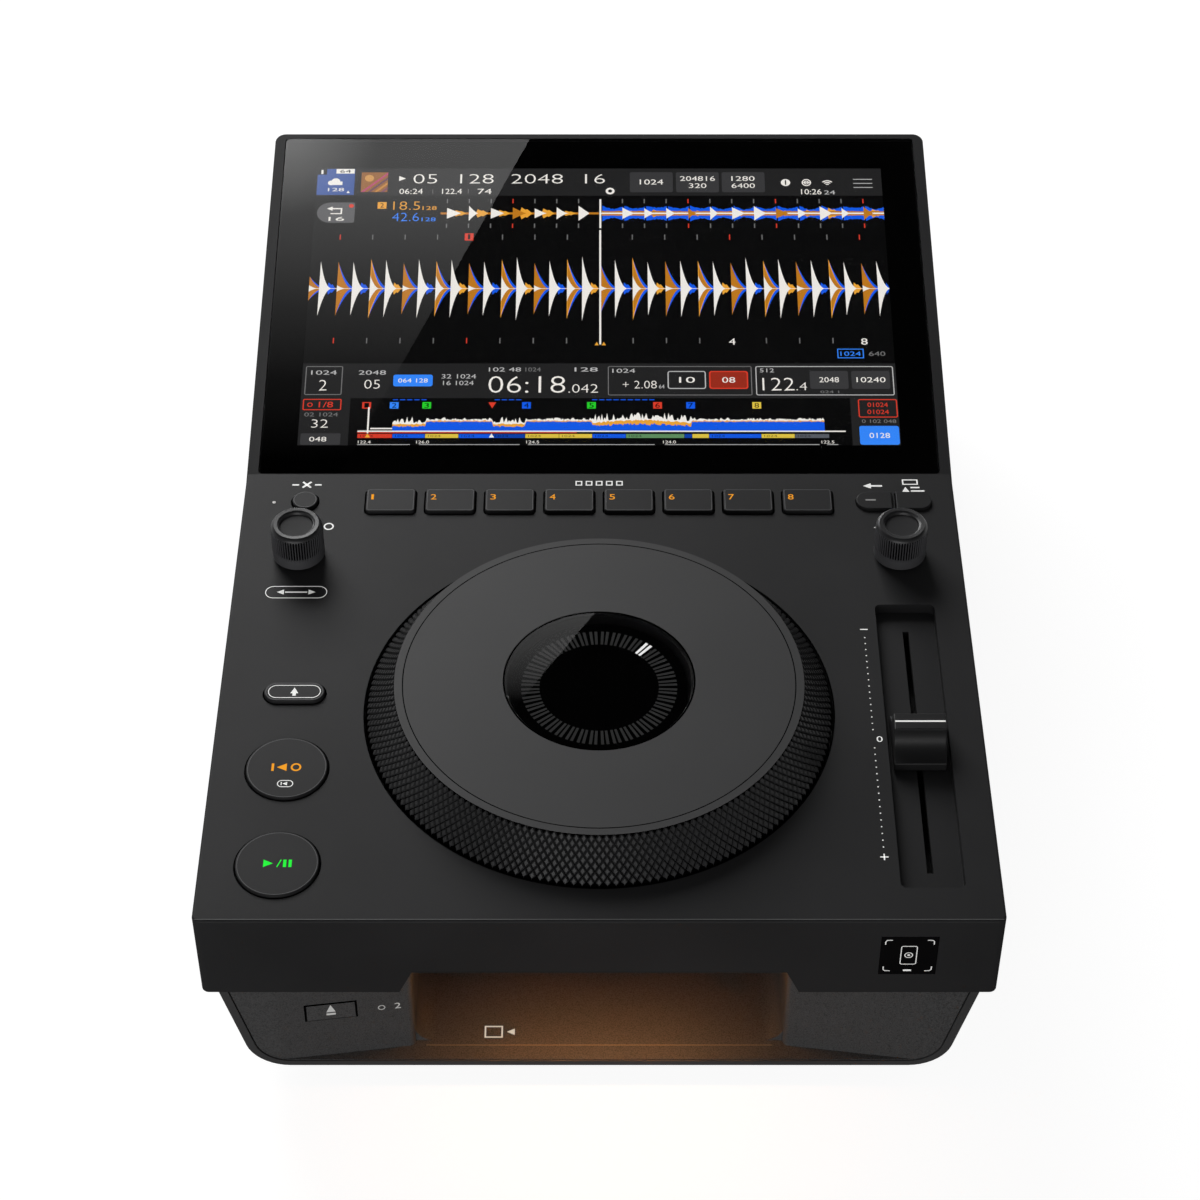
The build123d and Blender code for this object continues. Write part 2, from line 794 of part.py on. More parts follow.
def make_display_bracket():
    top = bracket_level()
    half = display_half + bracket_margin
    s0 = display_from - bracket_margin
    s1 = display_to + bracket_margin
    sheet = block(-half, half, s0, s1, top - bracket_thick, top)
    for x in (-1, 1):
        left = x * display_half / 2 - bracket_window[0] / 2
        right = left + bracket_window[0]
        for s in (s0 + bracket_window_from, s1 - bracket_window_from - bracket_window[1]):
            sheet -= block(left, right, s, s + bracket_window[1], top - 2 * bracket_thick, top + 1)
        for s in (s0, s1 - bracket_lug):
            x0 = display_half + panel_gap + 0.8
            lug = block(x0, half, s, s + bracket_lug, top - 0.5, -screen_wall - seat_gap)
            sheet += lug if x > 0 else mirror(lug, Plane.YZ)
    middle_s = (display_from + display_to) / 2
    for x in (-1, 1):
        for s in (-1, 1):
            sheet += rod(
                x * (display_board_size[0] / 2 - 5),
                middle_s + s * (display_board_size[1] / 2 - 5),
                top - bracket_thick - display_board_drop,
                top - 0.2,
                standoff_r,
            )
    return screen_plane * sheet


def make_display_board():
    top = bracket_level() - bracket_thick - display_board_drop - seat_gap
    middle_s = (display_from + display_to) / 2
    w, d = display_board_size
    board = block(-w / 2, w / 2, middle_s - d / 2, middle_s + d / 2, top - board_thick, top)
    w, d, h = display_chip
    under = top - board_thick
    board += block(-w / 2, w / 2, middle_s - d / 2, middle_s + d / 2, under - h, under + 0.2)
    return screen_plane * board


# ---- keys, switches and the key board ----
def round_key(place, hole_r, travel, proud):
    x = place[0]
    y = from_front(place[1])
    cap = rod(x, y, flange_top_z - 0.5, deck_z + proud, hole_r - key_gap)
    cap = fillet(cap.edges().group_by(Axis.Z)[-1], 0.4)
    flange = rod(x, y, flange_top_z - key_flange_thick, flange_top_z, hole_r + key_flange)
    return cap + flange + key_stem(x, y, travel)


def key_stem(x, y, travel):
    return rod(x, y, switch_top_z + travel + panel_gap, flange_top_z - 0.5, stem_r)


def pad_key(x, v, hole, radius):
    """A key with a rounded rectangular or pill-shaped cap."""
    y = from_front(v)
    cap_size = (hole[0] - 2 * key_gap, hole[1] - 2 * key_gap)
    flange_size = (hole[0] + 2 * key_flange, hole[1] + 2 * key_flange)
    cap = pad(x, y, flange_top_z - 0.5, deck_z + key_proud, cap_size, radius - key_gap)
    cap = fillet(cap.edges().group_by(Axis.Z)[-1], 0.45)
    flange = pad(x, y, flange_top_z - key_flange_thick, flange_top_z, flange_size, radius)
    return cap + flange + key_stem(x, y, key_travel)


def half_pill_key(side):
    y = from_front(back_tag_v)
    cap = back_tag_half(side, key_gap, flange_top_z - 0.5, deck_z + key_proud)
    cap = fillet(cap.edges().group_by(Axis.Z)[-1], 0.4)
    x_in = back_tag_x + side * (back_tag_rib / 2 + key_gap)
    x_out = back_tag_x + side * (back_tag_size[0] / 2 + key_flange)
    half_deep = back_tag_size[1] / 2 + key_flange
    flange_z = flange_top_z - key_flange_thick
    flange = block(min(x_in, x_out), max(x_in, x_out), y - half_deep, y + half_deep, flange_z, flange_top_z)
    return cap + flange + key_stem(back_tag_x + side * back_tag_size[0] / 4, y, key_travel)


def switch_places():
    places = list(hot_cue_places)
    places += [delete_at, shift_at, cue_at, play_at]
    places += [(back_tag_x + side * back_tag_size[0] / 4, back_tag_v) for side in (-1, 1)]
    return places


def make_key_switches():
    """Push switches on the key board, and the one in the sleeve of the eject key."""
    half = switch_size / 2
    group = None
    for x, v in switch_places():
        y = from_front(v)
        switch = block(x - half, x + half, y - half, y + half, board_top_z + fit_gap, switch_top_z - 0.6)
        switch += rod(x, y, switch_top_z - 1, switch_top_z, 1.7)
        group = switch if group is None else group + switch
    back = 6.6 + eject_travel + panel_gap
    wide = eject_size[0] / 2
    deep = half - 0.4
    eject_switch = block(-half, half, back, back + 3.0, -deep, deep)
    eject_switch += block(-wide, wide, back + 1, back + 2.5, -deep, deep)
    return group + eject_placed(eject_switch)


def make_key_board():
    """One U-shaped circuit board round the jog wheel."""
    z0 = board_top_z - board_thick
    edge = key_board_edge
    y0 = from_front(key_board_back[0])
    y1 = from_front(key_board_back[1])
    board = block(-edge, edge, y0, y1, z0, board_top_z)
    board += block(-edge, key_board_left_to, from_front(key_board_front), y1, z0, board_top_z)
    board += block(key_board_right_from, edge, from_front(key_board_right_front), y1, z0, board_top_z)
    for x, y in screw_places():
        board -= rod(x, y, z0 - 1, board_top_z + 1, boss_r + 1)
    return board


def make_standby_light():
    x, v = standby_at
    return rod(x, from_front(v), board_top_z + seat_gap, deck_z + 0.15, standby_r)


# ---- knobs ----
def make_knob(x):
    z0 = deck_z + knob_lift
    top = z0 + knob_height - knob_lift
    dish = top - knob_dish_depth
    outline = [
        (0, z0),
        (knob_base_r - 0.5, z0),
        (knob_base_r, z0 + 0.6),
        (knob_base_r - 0.15, top - 1.2),
        (knob_top_r, top - 0.35),
        (knob_top_r - 0.9, top),
        (knob_dish_r + 0.2, top - 0.25),
        (knob_dish_r, dish),
        (0, dish),
    ]
    knob = Pos(x, 0, 0) * turned(outline, knob_y)
    return knob - rod(x, knob_y, z0 - 1, z0 + knob_bore_depth, shaft_r + 0.02)


def plunger_top_z():
    return board_top_z + seat_gap + encoder_floor + knob_travel + panel_gap + 1.3


def make_shaft(x):
    top = deck_z + knob_lift + knob_bore_depth - seat_gap
    return rod(x, knob_y, plunger_top_z() + fit_gap, top, shaft_r)


def make_plunger(x):
    top = plunger_top_z()
    return rod(x, knob_y, top - 1.3, top, shaft_r - 0.4)


def make_encoder(x):
    half = encoder_size / 2
    z0 = board_top_z + seat_gap
    body = block(x - half, x + half, knob_y - half, knob_y + half, z0, under_deck_z - panel_gap)
    body += rod(x, knob_y, z0 + 1, deck_z - panel_gap, bushing_r)
    body -= rod(x, knob_y, z0 + encoder_floor, deck_z + 1, shaft_r + fit_gap)
    return body


# ---- tempo fader ----
def make_tempo_frame():
    w, d, h = tempo_frame_size
    top = tempo_floor_z - shell_wall - seat_gap
    y0 = tempo_y - d / 2
    y1 = tempo_y + d / 2
    t = tempo_frame_wall
    channel = block(tempo_x - w / 2, tempo_x + w / 2, y0, y1, top - h, top)
    channel -= block(tempo_x - w / 2 + t, tempo_x + w / 2 - t, y0 + t, y1 - t, top - h + t, top + 1)
    z = top - h + t + carriage_size[2] / 2 + 1
    for side in (-1, 1):
        x = tempo_x + side * rod_spread
        channel -= rod_y(x, z, y0 - 1, y1 + 1, rod_r + 0.02)
    group = channel
    for side in (-1, 1):
        x = tempo_x + side * rod_spread
        group += rod_y(x, z, y0 + 0.1, y1 - 0.1, rod_r)
    return group


def make_tempo_carriage():
    w, d, h = carriage_size
    frame_top = tempo_floor_z - shell_wall - seat_gap
    z0 = frame_top - tempo_frame_size[2] + tempo_frame_wall + 1
    body = block(tempo_x - w / 2, tempo_x + w / 2, tempo_y - d / 2, tempo_y + d / 2, z0, z0 + h)
    for side in (-1, 1):
        x = tempo_x + side * rod_spread
        body -= rod_y(x, z0 + h / 2, tempo_y - d, tempo_y + d, rod_r + fit_gap)
    lw, ld = tempo_lever
    lever = block(-lw / 2, lw / 2, -ld / 2, ld / 2, z0 + h - 0.5, deck_z + lever_rise)
    return body + Pos(tempo_x, tempo_y, 0) * lever


def make_tempo_cap():
    half = tempo_cap_size[1] / 2
    ridge = tempo_ridge / 2
    foot = tempo_floor_z + tempo_cap_foot
    top = deck_z + tempo_cap_top
    run = half - ridge
    chord = math.hypot(run, tempo_cap_top)
    middle_y = (half + ridge) / 2 - tempo_scoop * tempo_cap_top / chord
    middle_z = deck_z + tempo_cap_top / 2 - tempo_scoop * run / chord
    y = tempo_y
    edges = [
        Line((y - half, foot), (y + half, foot)),
        Line((y + half, foot), (y + half, deck_z)),
        ThreePointArc((y + half, deck_z), (y + middle_y, middle_z), (y + ridge, top)),
        Line((y + ridge, top), (y - ridge, top)),
        ThreePointArc((y - ridge, top), (y - middle_y, middle_z), (y - half, deck_z)),
        Line((y - half, deck_z), (y - half, foot)),
    ]
    side = tempo_cap_size[0] / 2
    plane = Plane(origin=(tempo_x - side, 0, 0), x_dir=(0, 1, 0), z_dir=(1, 0, 0))
    cap = extrude(plane * make_face(edges), 2 * side, dir=(1, 0, 0))
    cap = fillet(cap.edges().filter_by(Axis.Z), 0.8)
    lw, ld = tempo_lever
    cap -= block(
        tempo_x - lw / 2 - fit_gap,
        tempo_x + lw / 2 + fit_gap,
        y - ld / 2 - fit_gap,
        y + ld / 2 + fit_gap,
        foot - 1,
        deck_z + lever_rise + seat_gap,
    )
    return cap


# ---- jog wheel ----
def make_jog_plate():
    z0 = jog_top_z - jog_plate_thick
    return ring(0, jog_y, z0, jog_top_z, jog_plate_r - fit_gap, jog_window_r + fit_gap)


def make_jog_window():
    return rod(0, jog_y, jog_top_z - jog_window_thick, jog_top_z - 0.05, jog_window_r - fit_gap)


def make_jog_rim():
    plate_seat = jog_top_z - jog_plate_thick - fit_gap
    foot = under_deck_z - jog_skirt + 3
    inner = jog_rim_r - jog_rim_wall
    outline = [
        (jog_plate_r, jog_top_z),
        (jog_shoulder_r - 0.5, jog_top_z),
        (jog_shoulder_r, jog_top_z - 0.4),
        (jog_rim_r, deck_z + jog_cone_foot),
        (jog_rim_r, foot),
        (inner, foot),
        (inner, jog_disc_top_z + fit_gap),
        (inner - 2.5, jog_disc_top_z + fit_gap),
        (jog_shoulder_r - 1.6, plate_seat - 2),
        (jog_plate_r - 4, plate_seat - 2),
        (jog_plate_r - 4, plate_seat),
        (jog_plate_r, plate_seat),
    ]
    return turned(outline, jog_y)


def make_jog_hub():
    """Carrier of the wheel: a disc on a hub with a seat for the bearing and a wall under the plate."""
    edge = jog_rim_r - jog_rim_wall - fit_gap
    plate_under = jog_top_z - jog_plate_thick - fit_gap
    window_under = jog_top_z - jog_window_thick - fit_gap
    low = bearing_z - 1
    lip_z = bearing_z + bearing_wide + fit_gap
    wall_in = jog_window_r - 1.2
    outline = [
        (bearing_r + 0.02, low),
        (jog_hub_r, low),
        (jog_hub_r, jog_disc_z),
        (edge, jog_disc_z),
        (edge, jog_disc_top_z),
        (wall_in + 2.6, jog_disc_top_z),
        (wall_in + 2.6, plate_under),
        (jog_window_r + fit_gap, plate_under),
        (jog_window_r + fit_gap, window_under),
        (wall_in, window_under),
        (wall_in, jog_disc_top_z),
        (bearing_r - 1.4, jog_disc_top_z),
        (bearing_r - 1.4, lip_z),
        (bearing_r + 0.02, lip_z),
    ]
    return turned(outline, jog_y)


def make_bearing_outer():
    return ring(0, jog_y, bearing_z, bearing_z + bearing_wide, bearing_r, bearing_r - bearing_ring)


def make_bearing_inner():
    """Inner ring of the bearing with its balls."""
    inner_out = jog_post_r + 0.02 + bearing_ring
    group = ring(0, jog_y, bearing_z, bearing_z + bearing_wide, inner_out, jog_post_r + 0.02)
    outer_in = bearing_r - bearing_ring
    ball_r = (outer_in - inner_out) / 2 - fit_gap
    track = (outer_in + inner_out) / 2
    for i in range(ball_count):
        angle = 2 * math.pi * i / ball_count
        x = track * math.cos(angle)
        y = jog_y + track * math.sin(angle)
        group += Pos(x, y, bearing_z + bearing_wide / 2) * Sphere(ball_r)
    return group


def display_foot_z():
    return jog_disc_top_z + 0.7


def make_jog_base():
    base = rod(0, jog_y, jog_base_z, jog_base_top_z, jog_base_r)
    for x, y in jog_ear_places():
        base += rod(x, y, jog_base_z, jog_base_top_z, jog_ear_size)
    for i in range(6):
        angle = math.radians(60 * i)
        x = jog_base_hole_ring * math.cos(angle)
        y = jog_y + jog_base_hole_ring * math.sin(angle)
        base -= rod(x, y, jog_base_z - 1, jog_base_top_z + 1, jog_base_hole_r)
    base += rod(0, jog_y, jog_base_z + 1, bearing_z - fit_gap, jog_post_r + bearing_ring)
    base += rod(0, jog_y, jog_base_z + 1, display_foot_z() - fit_gap, jog_post_r)
    base -= rod(0, jog_y, jog_base_z - 1, deck_z + 5, jog_post_bore)
    return base


def make_jog_display():
    """Round display in its cup, held still on top of the post."""
    top = deck_z + jog_display_level
    foot = display_foot_z()
    outline = [
        (jog_post_bore, foot),
        (jog_display_r, foot),
        (jog_display_r, top),
        (0, top),
        (0, top - jog_display_thick),
        (jog_display_r - 2, top - jog_display_thick),
        (jog_display_r - 2, foot + 1.5),
        (jog_post_bore, foot + 1.5),
    ]
    return turned(outline, jog_y)


def encoder_disc_z():
    return bearing_z + 1.0


def make_encoder_disc():
    z0 = encoder_disc_z()
    disc = ring(0, jog_y, z0, z0 + encoder_disc_thick, encoder_disc_r, jog_hub_r + 0.02)
    for i in range(encoder_slots):
        slot = Pos(encoder_disc_r - 3, 0, z0) * Box(3, 1, 4)
        disc -= Pos(0, jog_y, 0) * Rot(0, 0, 360 / encoder_slots * i) * slot
    return disc


def make_jog_sensor():
    """Fork sensor that straddles the edge of the encoder disc."""
    x0 = encoder_disc_r - 5
    x1 = encoder_disc_r + 5
    z0 = jog_base_top_z + seat_gap
    z1 = encoder_disc_z() + encoder_disc_thick + 3
    fork = block(x0, x1, jog_y - 4, jog_y + 4, z0, z1)
    low = encoder_disc_z() - 0.6
    high = encoder_disc_z() + encoder_disc_thick + 0.6
    return fork - block(x0 - 1, encoder_disc_r + 1, jog_y - 5, jog_y + 5, low, high)


# ---- boards and rear panel ----
def circuit_board(x, y, size, blocks):
    """A board on the posts of the tub, with its larger components as blocks."""
    w, d = size
    z0 = tub_floor_z + board_lift + seat_gap
    top = z0 + board_thick
    board = block(x - w / 2, x + w / 2, y - d / 2, y + d / 2, z0, top)
    for dx, dy, bw, bd, bh in blocks:
        cx = x + dx
        cy = y + dy
        board += block(cx - bw / 2, cx + bw / 2, cy - bd / 2, cy + bd / 2, top - fit_gap, top + bh)
    return board


def make_main_board():
    return circuit_board(0, from_front(main_board_v), main_board_size, main_board_blocks)


def make_power_board():
    y = from_front(power_board_v)
    board = circuit_board(power_board_x, y, power_board_size, power_board_blocks)
    top = tub_floor_z + board_lift + seat_gap + board_thick
    x = power_board_x - power_board_size[0] / 2 + capacitor_r + 4
    for step in (-1, 0, 1):
        board += rod(x, y + step * capacitor_pitch, top - fit_gap, top + capacitor_height, capacitor_r)
    return board


def rear_floor_y():
    """Outer face of the recessed sheet that carries the sockets."""
    return rear_y - shell_wall - seat_gap - rear_recess


def make_rear_panel():
    w, h = rear_window
    y_flange = rear_y - shell_wall - seat_gap
    y_floor = rear_floor_y()
    z0 = rear_window_z
    z1 = z0 + h
    f = rear_flange
    t = rear_sheet
    tray = block(-w / 2 - f, w / 2 + f, y_flange - t, y_flange, z0 - t, z1 + f)
    tray += block(-w / 2 - t, w / 2 + t, y_floor - t, y_flange, z0 - t, z1 + t)
    tray -= block(-w / 2, w / 2, y_floor, y_flange + 1, z0, z1)
    zc = socket_z()
    for x, (sw, sh) in rear_cutouts():
        tray -= block(x - sw / 2, x + sw / 2, y_floor - t - 1, y_floor + 1, zc - sh / 2, zc + sh / 2)
    for x in rca_x:
        tray -= rod_y(x, zc, y_floor - t - 1, y_floor + 1, rca_r + seat_gap)
    return tray


def socket_z():
    return rear_window_z + rear_window[1] / 2


def rear_cutouts():
    grow = 2 * seat_gap
    return [
        (inlet_x, (inlet_size[0] + grow, inlet_size[1] + grow)),
        (rocker_x, (rocker_size[0] + 2 + grow, rocker_size[1] + 2 + grow)),
        (network_x, (network_size[0] + grow, network_size[1] + grow)),
        (host_x, (host_size[0] + grow, host_size[1] + grow)),
    ]


def make_mains_inlet():
    """Mains inlet and rocker switch body, joined by the strip that holds them behind the sheet."""
    w, h = inlet_size
    y1 = rear_floor_y() + 2.0
    y0 = y1 - inlet_depth
    zc = socket_z()
    body = block(inlet_x - w / 2, inlet_x + w / 2, y0, y1, zc - h / 2, zc + h / 2)
    cw, ch, cd = inlet_cavity
    body -= block(inlet_x - cw / 2, inlet_x + cw / 2, y1 - cd, y1 + 1, zc - ch / 2, zc + ch / 2)
    pw, ph = inlet_pin_half
    for dx, dz in inlet_pins:
        x = inlet_x + dx
        z = zc + dz
        body += block(x - pw, x + pw, y1 - cd - 0.5, y1 - 2, z - ph, z + ph)
    back_face = rear_floor_y() - rear_sheet - seat_gap
    rw = rocker_size[0] + 2
    rh = rocker_size[1] + 2
    frame_y1 = rear_floor_y() + 0.8
    switch = block(rocker_x - rw / 2, rocker_x + rw / 2, y0 + 4, frame_y1, zc - rh / 2, zc + rh / 2)
    well = block(
        rocker_x - rocker_size[0] / 2 - 0.3,
        rocker_x + rocker_size[0] / 2 + 0.3,
        frame_y1 - 9,
        frame_y1 + 1,
        zc - rocker_size[1] / 2 - 0.3,
        zc + rocker_size[1] / 2 + 0.3,
    )
    switch -= well
    # the strip ends inside the side wall of the inlet, clear of its cavity
    strip_end = inlet_x - (w + cw) / 4
    strip = block(rocker_x - 3, strip_end, back_face - 2.5, back_face, zc - h / 2, zc - h / 2 + 6)
    return body + switch + (strip - well)


def rocker_axis():
    """Point on the pivot line of the rocker."""
    return rocker_x, rear_floor_y() - 3.0, socket_z()


def make_power_rocker():
    """Rocker of the mains switch, with its upper half pressed in at rest."""
    x, y, z = rocker_axis()
    half = rocker_size[1] / 2
    tip = half - 1.2
    face = [(-3.0, -2.2), (2.6, -tip), (4.4, -tip), (3.4, 0), (4.4, tip), (2.6, tip), (-3.0, 2.2)]
    body = prism_yz(face, -rocker_size[0] / 2, rocker_size[0] / 2)
    return Pos(x, y, z) * Rot(rocker_swing / 2, 0, 0) * body


def make_rear_sockets():
    """Three audio sockets, a network socket and a square host socket."""
    y_floor = rear_floor_y()
    zc = socket_z()
    back = y_floor - rear_sheet - seat_gap
    group = None
    for x in rca_x:
        jack = rod_y(x, zc, back - 1, y_floor + rca_long, rca_r)
        jack += block(x - 6, x + 6, back - socket_back, back, zc - 7, zc + 7)
        jack -= rod_y(x, zc, back, y_floor + rca_long + 1, rca_bore)
        group = jack if group is None else group + jack
    face = y_floor + 0.6
    w, h = network_size
    network = block(-w / 2, w / 2, back - socket_back, face, zc - h / 2, zc + h / 2)
    cw, ch, cd = network_cavity
    network -= block(-cw / 2, cw / 2, face - cd, face + 1, zc - ch / 2, zc + ch / 2)
    w, h = host_size
    host = block(host_x - w / 2, host_x + w / 2, back - socket_back, face, zc - h / 2, zc + h / 2)
    host -= block(host_x - 4.2, host_x + 4.2, y_floor - 8, y_floor + 1, zc - 3.9, zc + 3.9)
    host += block(host_x - 2.8, host_x + 2.8, y_floor - 8.5, y_floor - 0.5, zc - 1.6, zc + 1.6)
    return group + Pos(network_x, 0, 0) * network + host


# ---- feet and screws ----
def make_feet():
    group = None
    for side in (-1, 1):
        for x, v in foot_places:
            foot = rod(side * x, from_front(v), 0, foot_height - fit_gap, foot_r)
            foot = fillet(foot.edges().group_by(Axis.Z)[0], 1.0)
            group = foot if group is None else group + foot
    return group


def make_case_screws():
    group = None
    for x, y in screw_places():
        z0 = tub_z + 0.3
        screw = rod(x, y, z0, z0 + screw_head, screw_head_r)
        screw += rod(x, y, z0 + 1, z0 + screw_long + 4, screw_r)
        slot = Pos(x, y, z0) * Box(3.6, 0.8, 1.6) + Pos(x, y, z0) * Box(0.8, 3.6, 1.6)
        screw -= slot
        group = screw if group is None else group + screw
    return group


def main():
    os.makedirs("parts", exist_ok=True)
    save("top_cover", make_top_cover())
    save("bottom_case", make_bottom_case())
    save("front_panel", make_front_panel())
    save("usb_bay", make_usb_bay())
    save("usb_sockets", make_usb_sockets())
    save("usb_board", make_usb_board())
    save("bay_light_bar", make_light_bar())
    save("touch_window", make_touch_window())
    save("touch_antenna", make_touch_antenna())
    save("screen_glass", make_screen_glass())
    save("display_panel", make_display_panel())
    save("display_bracket", make_display_bracket())
    save("display_board", make_display_board())
    for number, (x, v) in enumerate(hot_cue_places, start=1):
        save(f"hot_cue_key_{number}", pad_key(x, v, hot_cue_hole, hot_cue_r))
    save("delete_key", round_key(delete_at, delete_hole_r, key_travel, key_proud))
    save("cue_key", round_key(cue_at, round_hole_r, play_travel, play_proud))
    save("play_key", round_key(play_at, round_hole_r, play_travel, play_proud))
    save("shift_key", pad_key(shift_at[0], shift_at[1], shift_size, shift_size[1] / 2 - 0.01))
    save("back_key", half_pill_key(-1))
    save("tag_key", half_pill_key(1))
    save("eject_key", make_eject_key())
    save("key_switches", make_key_switches())
    save("key_board", make_key_board())
    save("standby_light", make_standby_light())
    for name, x in (("loop", -knob_x), ("browse", knob_x)):
        save(f"{name}_knob", make_knob(x))
        save(f"{name}_shaft", make_shaft(x))
        save(f"{name}_plunger", make_plunger(x))
        save(f"{name}_encoder", make_encoder(x))
    save("tempo_frame", make_tempo_frame())
    save("tempo_carriage", make_tempo_carriage())
    save("tempo_cap", make_tempo_cap())
    save("jog_plate", make_jog_plate())
    save("jog_window", make_jog_window())
    save("jog_rim", make_jog_rim())
    save("jog_hub", make_jog_hub())
    save("jog_bearing_outer", make_bearing_outer())
    save("jog_bearing_inner", make_bearing_inner())
    save("jog_base", make_jog_base())
    save("jog_display", make_jog_display())
    save("jog_encoder_disc", make_encoder_disc())
    save("jog_sensor", make_jog_sensor())
    save("main_board", make_main_board())
    save("power_board", make_power_board())
    save("rear_panel", make_rear_panel())
    save("mains_inlet", make_mains_inlet())
    save("power_rocker", make_power_rocker())
    save("rear_sockets", make_rear_sockets())
    save("feet", make_feet())
    save("case_screws", make_case_screws())


main()
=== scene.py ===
"""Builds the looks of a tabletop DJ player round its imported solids.

It is laid out as an add-on, and also runs as a script.
"""

import math
import random

import bpy
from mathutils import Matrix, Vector


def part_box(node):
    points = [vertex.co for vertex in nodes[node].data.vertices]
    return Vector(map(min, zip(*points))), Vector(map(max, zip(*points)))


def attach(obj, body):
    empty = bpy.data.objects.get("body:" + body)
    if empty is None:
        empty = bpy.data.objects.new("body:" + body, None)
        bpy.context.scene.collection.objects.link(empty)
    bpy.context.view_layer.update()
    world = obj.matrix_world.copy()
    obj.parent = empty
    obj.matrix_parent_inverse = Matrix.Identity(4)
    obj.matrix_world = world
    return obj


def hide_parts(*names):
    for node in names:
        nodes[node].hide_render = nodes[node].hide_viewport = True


bl_info = {
    "name": "DJ Player Looks",
    "version": (1, 0, 0),
    "blender": (4, 5, 0),
    "location": "View3D > Sidebar > DJ Player",
    "description": "Builds the visible pieces, finishes and studio of a tabletop DJ player",
    "category": "Object",
}

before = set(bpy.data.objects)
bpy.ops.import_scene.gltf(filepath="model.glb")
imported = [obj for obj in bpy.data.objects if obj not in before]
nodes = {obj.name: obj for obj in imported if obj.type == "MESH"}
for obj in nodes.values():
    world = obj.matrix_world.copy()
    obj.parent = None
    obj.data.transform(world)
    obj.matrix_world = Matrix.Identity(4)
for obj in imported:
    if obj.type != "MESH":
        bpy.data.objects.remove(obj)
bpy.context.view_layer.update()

# Sizes in this file are in millimetres, unless a name or a property says otherwise.
MM = 0.001


def box_mm(node):
    """Lowest and highest corner of a solid, in millimetres."""
    low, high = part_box(node)
    return low / MM, high / MM


def middle_mm(node):
    low, high = box_mm(node)
    return (low + high) / 2


# ---- places on the player ----
FRONT_Y = box_mm("top_cover")[0].y
DECK_Z = 84.5
CREASE_Y = FRONT_Y + 204.5
SCREEN_TILT = math.radians(10.36)
GLASS_THICK = 1.9
GLASS_HALF = 121.0
GLASS_FROM = 1.0
GLASS_TO = 163.5
WHEEL_Y = middle_mm("jog_plate").y
WHEEL_TOP = box_mm("jog_plate")[1].z
WELL_R = 76.9
BAY_HALF = 56.5
BAY_FLOOR_Z = 9.7

# The slanted faces beside the bay start at FACET_OUTER_X,
# and fall back by FACET_BACK over a width of FACET_RUN.
FACET_OUTER_X = 103.0
FACET_Y = FRONT_Y + 3.5
FACET_RUN = 43.0
FACET_BACK = 5.7

KEY_GAP = 0.28
# width of the black bands painted round the deck's openings, as shade in the gaps
GAP_SHADE_WIDTH = 0.35
PRINT_LIFT = 0.004
BLACK = (0.001, 0.001, 0.001)

# Corner radius of each key with painted gap shade round it and a painted highlight inside its edge. ROUND is
# larger than any key, so the ends become half circles.
ROUND = 100.0
KEY_CORNERS = {f"hot_cue_key_{number}": 1.3 for number in range(1, 9)}
KEY_CORNERS.update(shift_key=ROUND, delete_key=ROUND, cue_key=ROUND, play_key=ROUND)


# ---- sizes and colours that a user may change ----
def colour_property(name, description, default):
    return bpy.props.FloatVectorProperty(
        name=name, description=description, default=default, subtype="COLOR", size=3, min=0.0, max=1.0
    )


def length_property(name, description, default):
    return bpy.props.FloatProperty(
        name=name, description=description, default=default, min=0.0, subtype="DISTANCE", unit="LENGTH"
    )


class PlayerColours(bpy.types.PropertyGroup):
    cover: colour_property("Cover", "Satin coating of the top cover", (0.0225, 0.0225, 0.0235))
    tub: colour_property("Tub", "Grained plastic of the bottom case", (0.05, 0.05, 0.051))
    panel: colour_property("Front panel", "Speckled plastic beside the bay", (0.062, 0.062, 0.063))
    key: colour_property("Keys", "Satin plastic of the keys", (0.02, 0.02, 0.021))
    plate: colour_property("Wheel plate", "Anodised top plate of the jog wheel", (0.038, 0.038, 0.039))
    rim: colour_property("Wheel rim", "Moulded knurled rim of the jog wheel", (0.026, 0.026, 0.027))
    knob: colour_property("Knobs", "Soft coating of the two knobs", (0.016, 0.016, 0.017))
    bay_light: colour_property("Bay light", "Amber light of the bay", (1.0, 0.46, 0.16))
    print_white: colour_property("White print", "Marks printed on the casing", (0.95, 0.95, 0.93))
    lit_orange: colour_property("Orange marks", "Lit figures on the cue keys", (0.9, 0.35, 0.02))
    lit_green: colour_property("Green marks", "Lit figure on the play key", (0.02, 0.9, 0.05))


class WheelSizes(bpy.types.PropertyGroup):
    studs_around: bpy.props.IntProperty(
        name="Studs around", description="Knurl studs in one row", default=180, min=12, max=400
    )
    stud_rows: bpy.props.IntProperty(
        name="Stud rows", description="Rows of studs down the slope", default=9, min=1, max=20
    )
    stud_long: length_property("Stud length", "Length of a stud down the slope", 0.0035)
    stud_wide: length_property("Stud width", "Width of a stud round the rim", 0.00246)
    stud_high: length_property("Stud height", "Height of a stud above the slope", 0.00042)
    tick_pairs: bpy.props.IntProperty(
        name="Tick pairs", description="Pairs of ticks round the wheel's display", default=40, min=4, max=90
    )


class KnobSizes(bpy.types.PropertyGroup):
    ribs: bpy.props.IntProperty(name="Ribs", description="Grip ribs round a knob", default=60, min=8, max=120)
    rib_wide: length_property("Rib width", "Width of one grip rib", 0.0006)
    rib_deep: length_property("Rib depth", "How far a rib stands out", 0.0004)


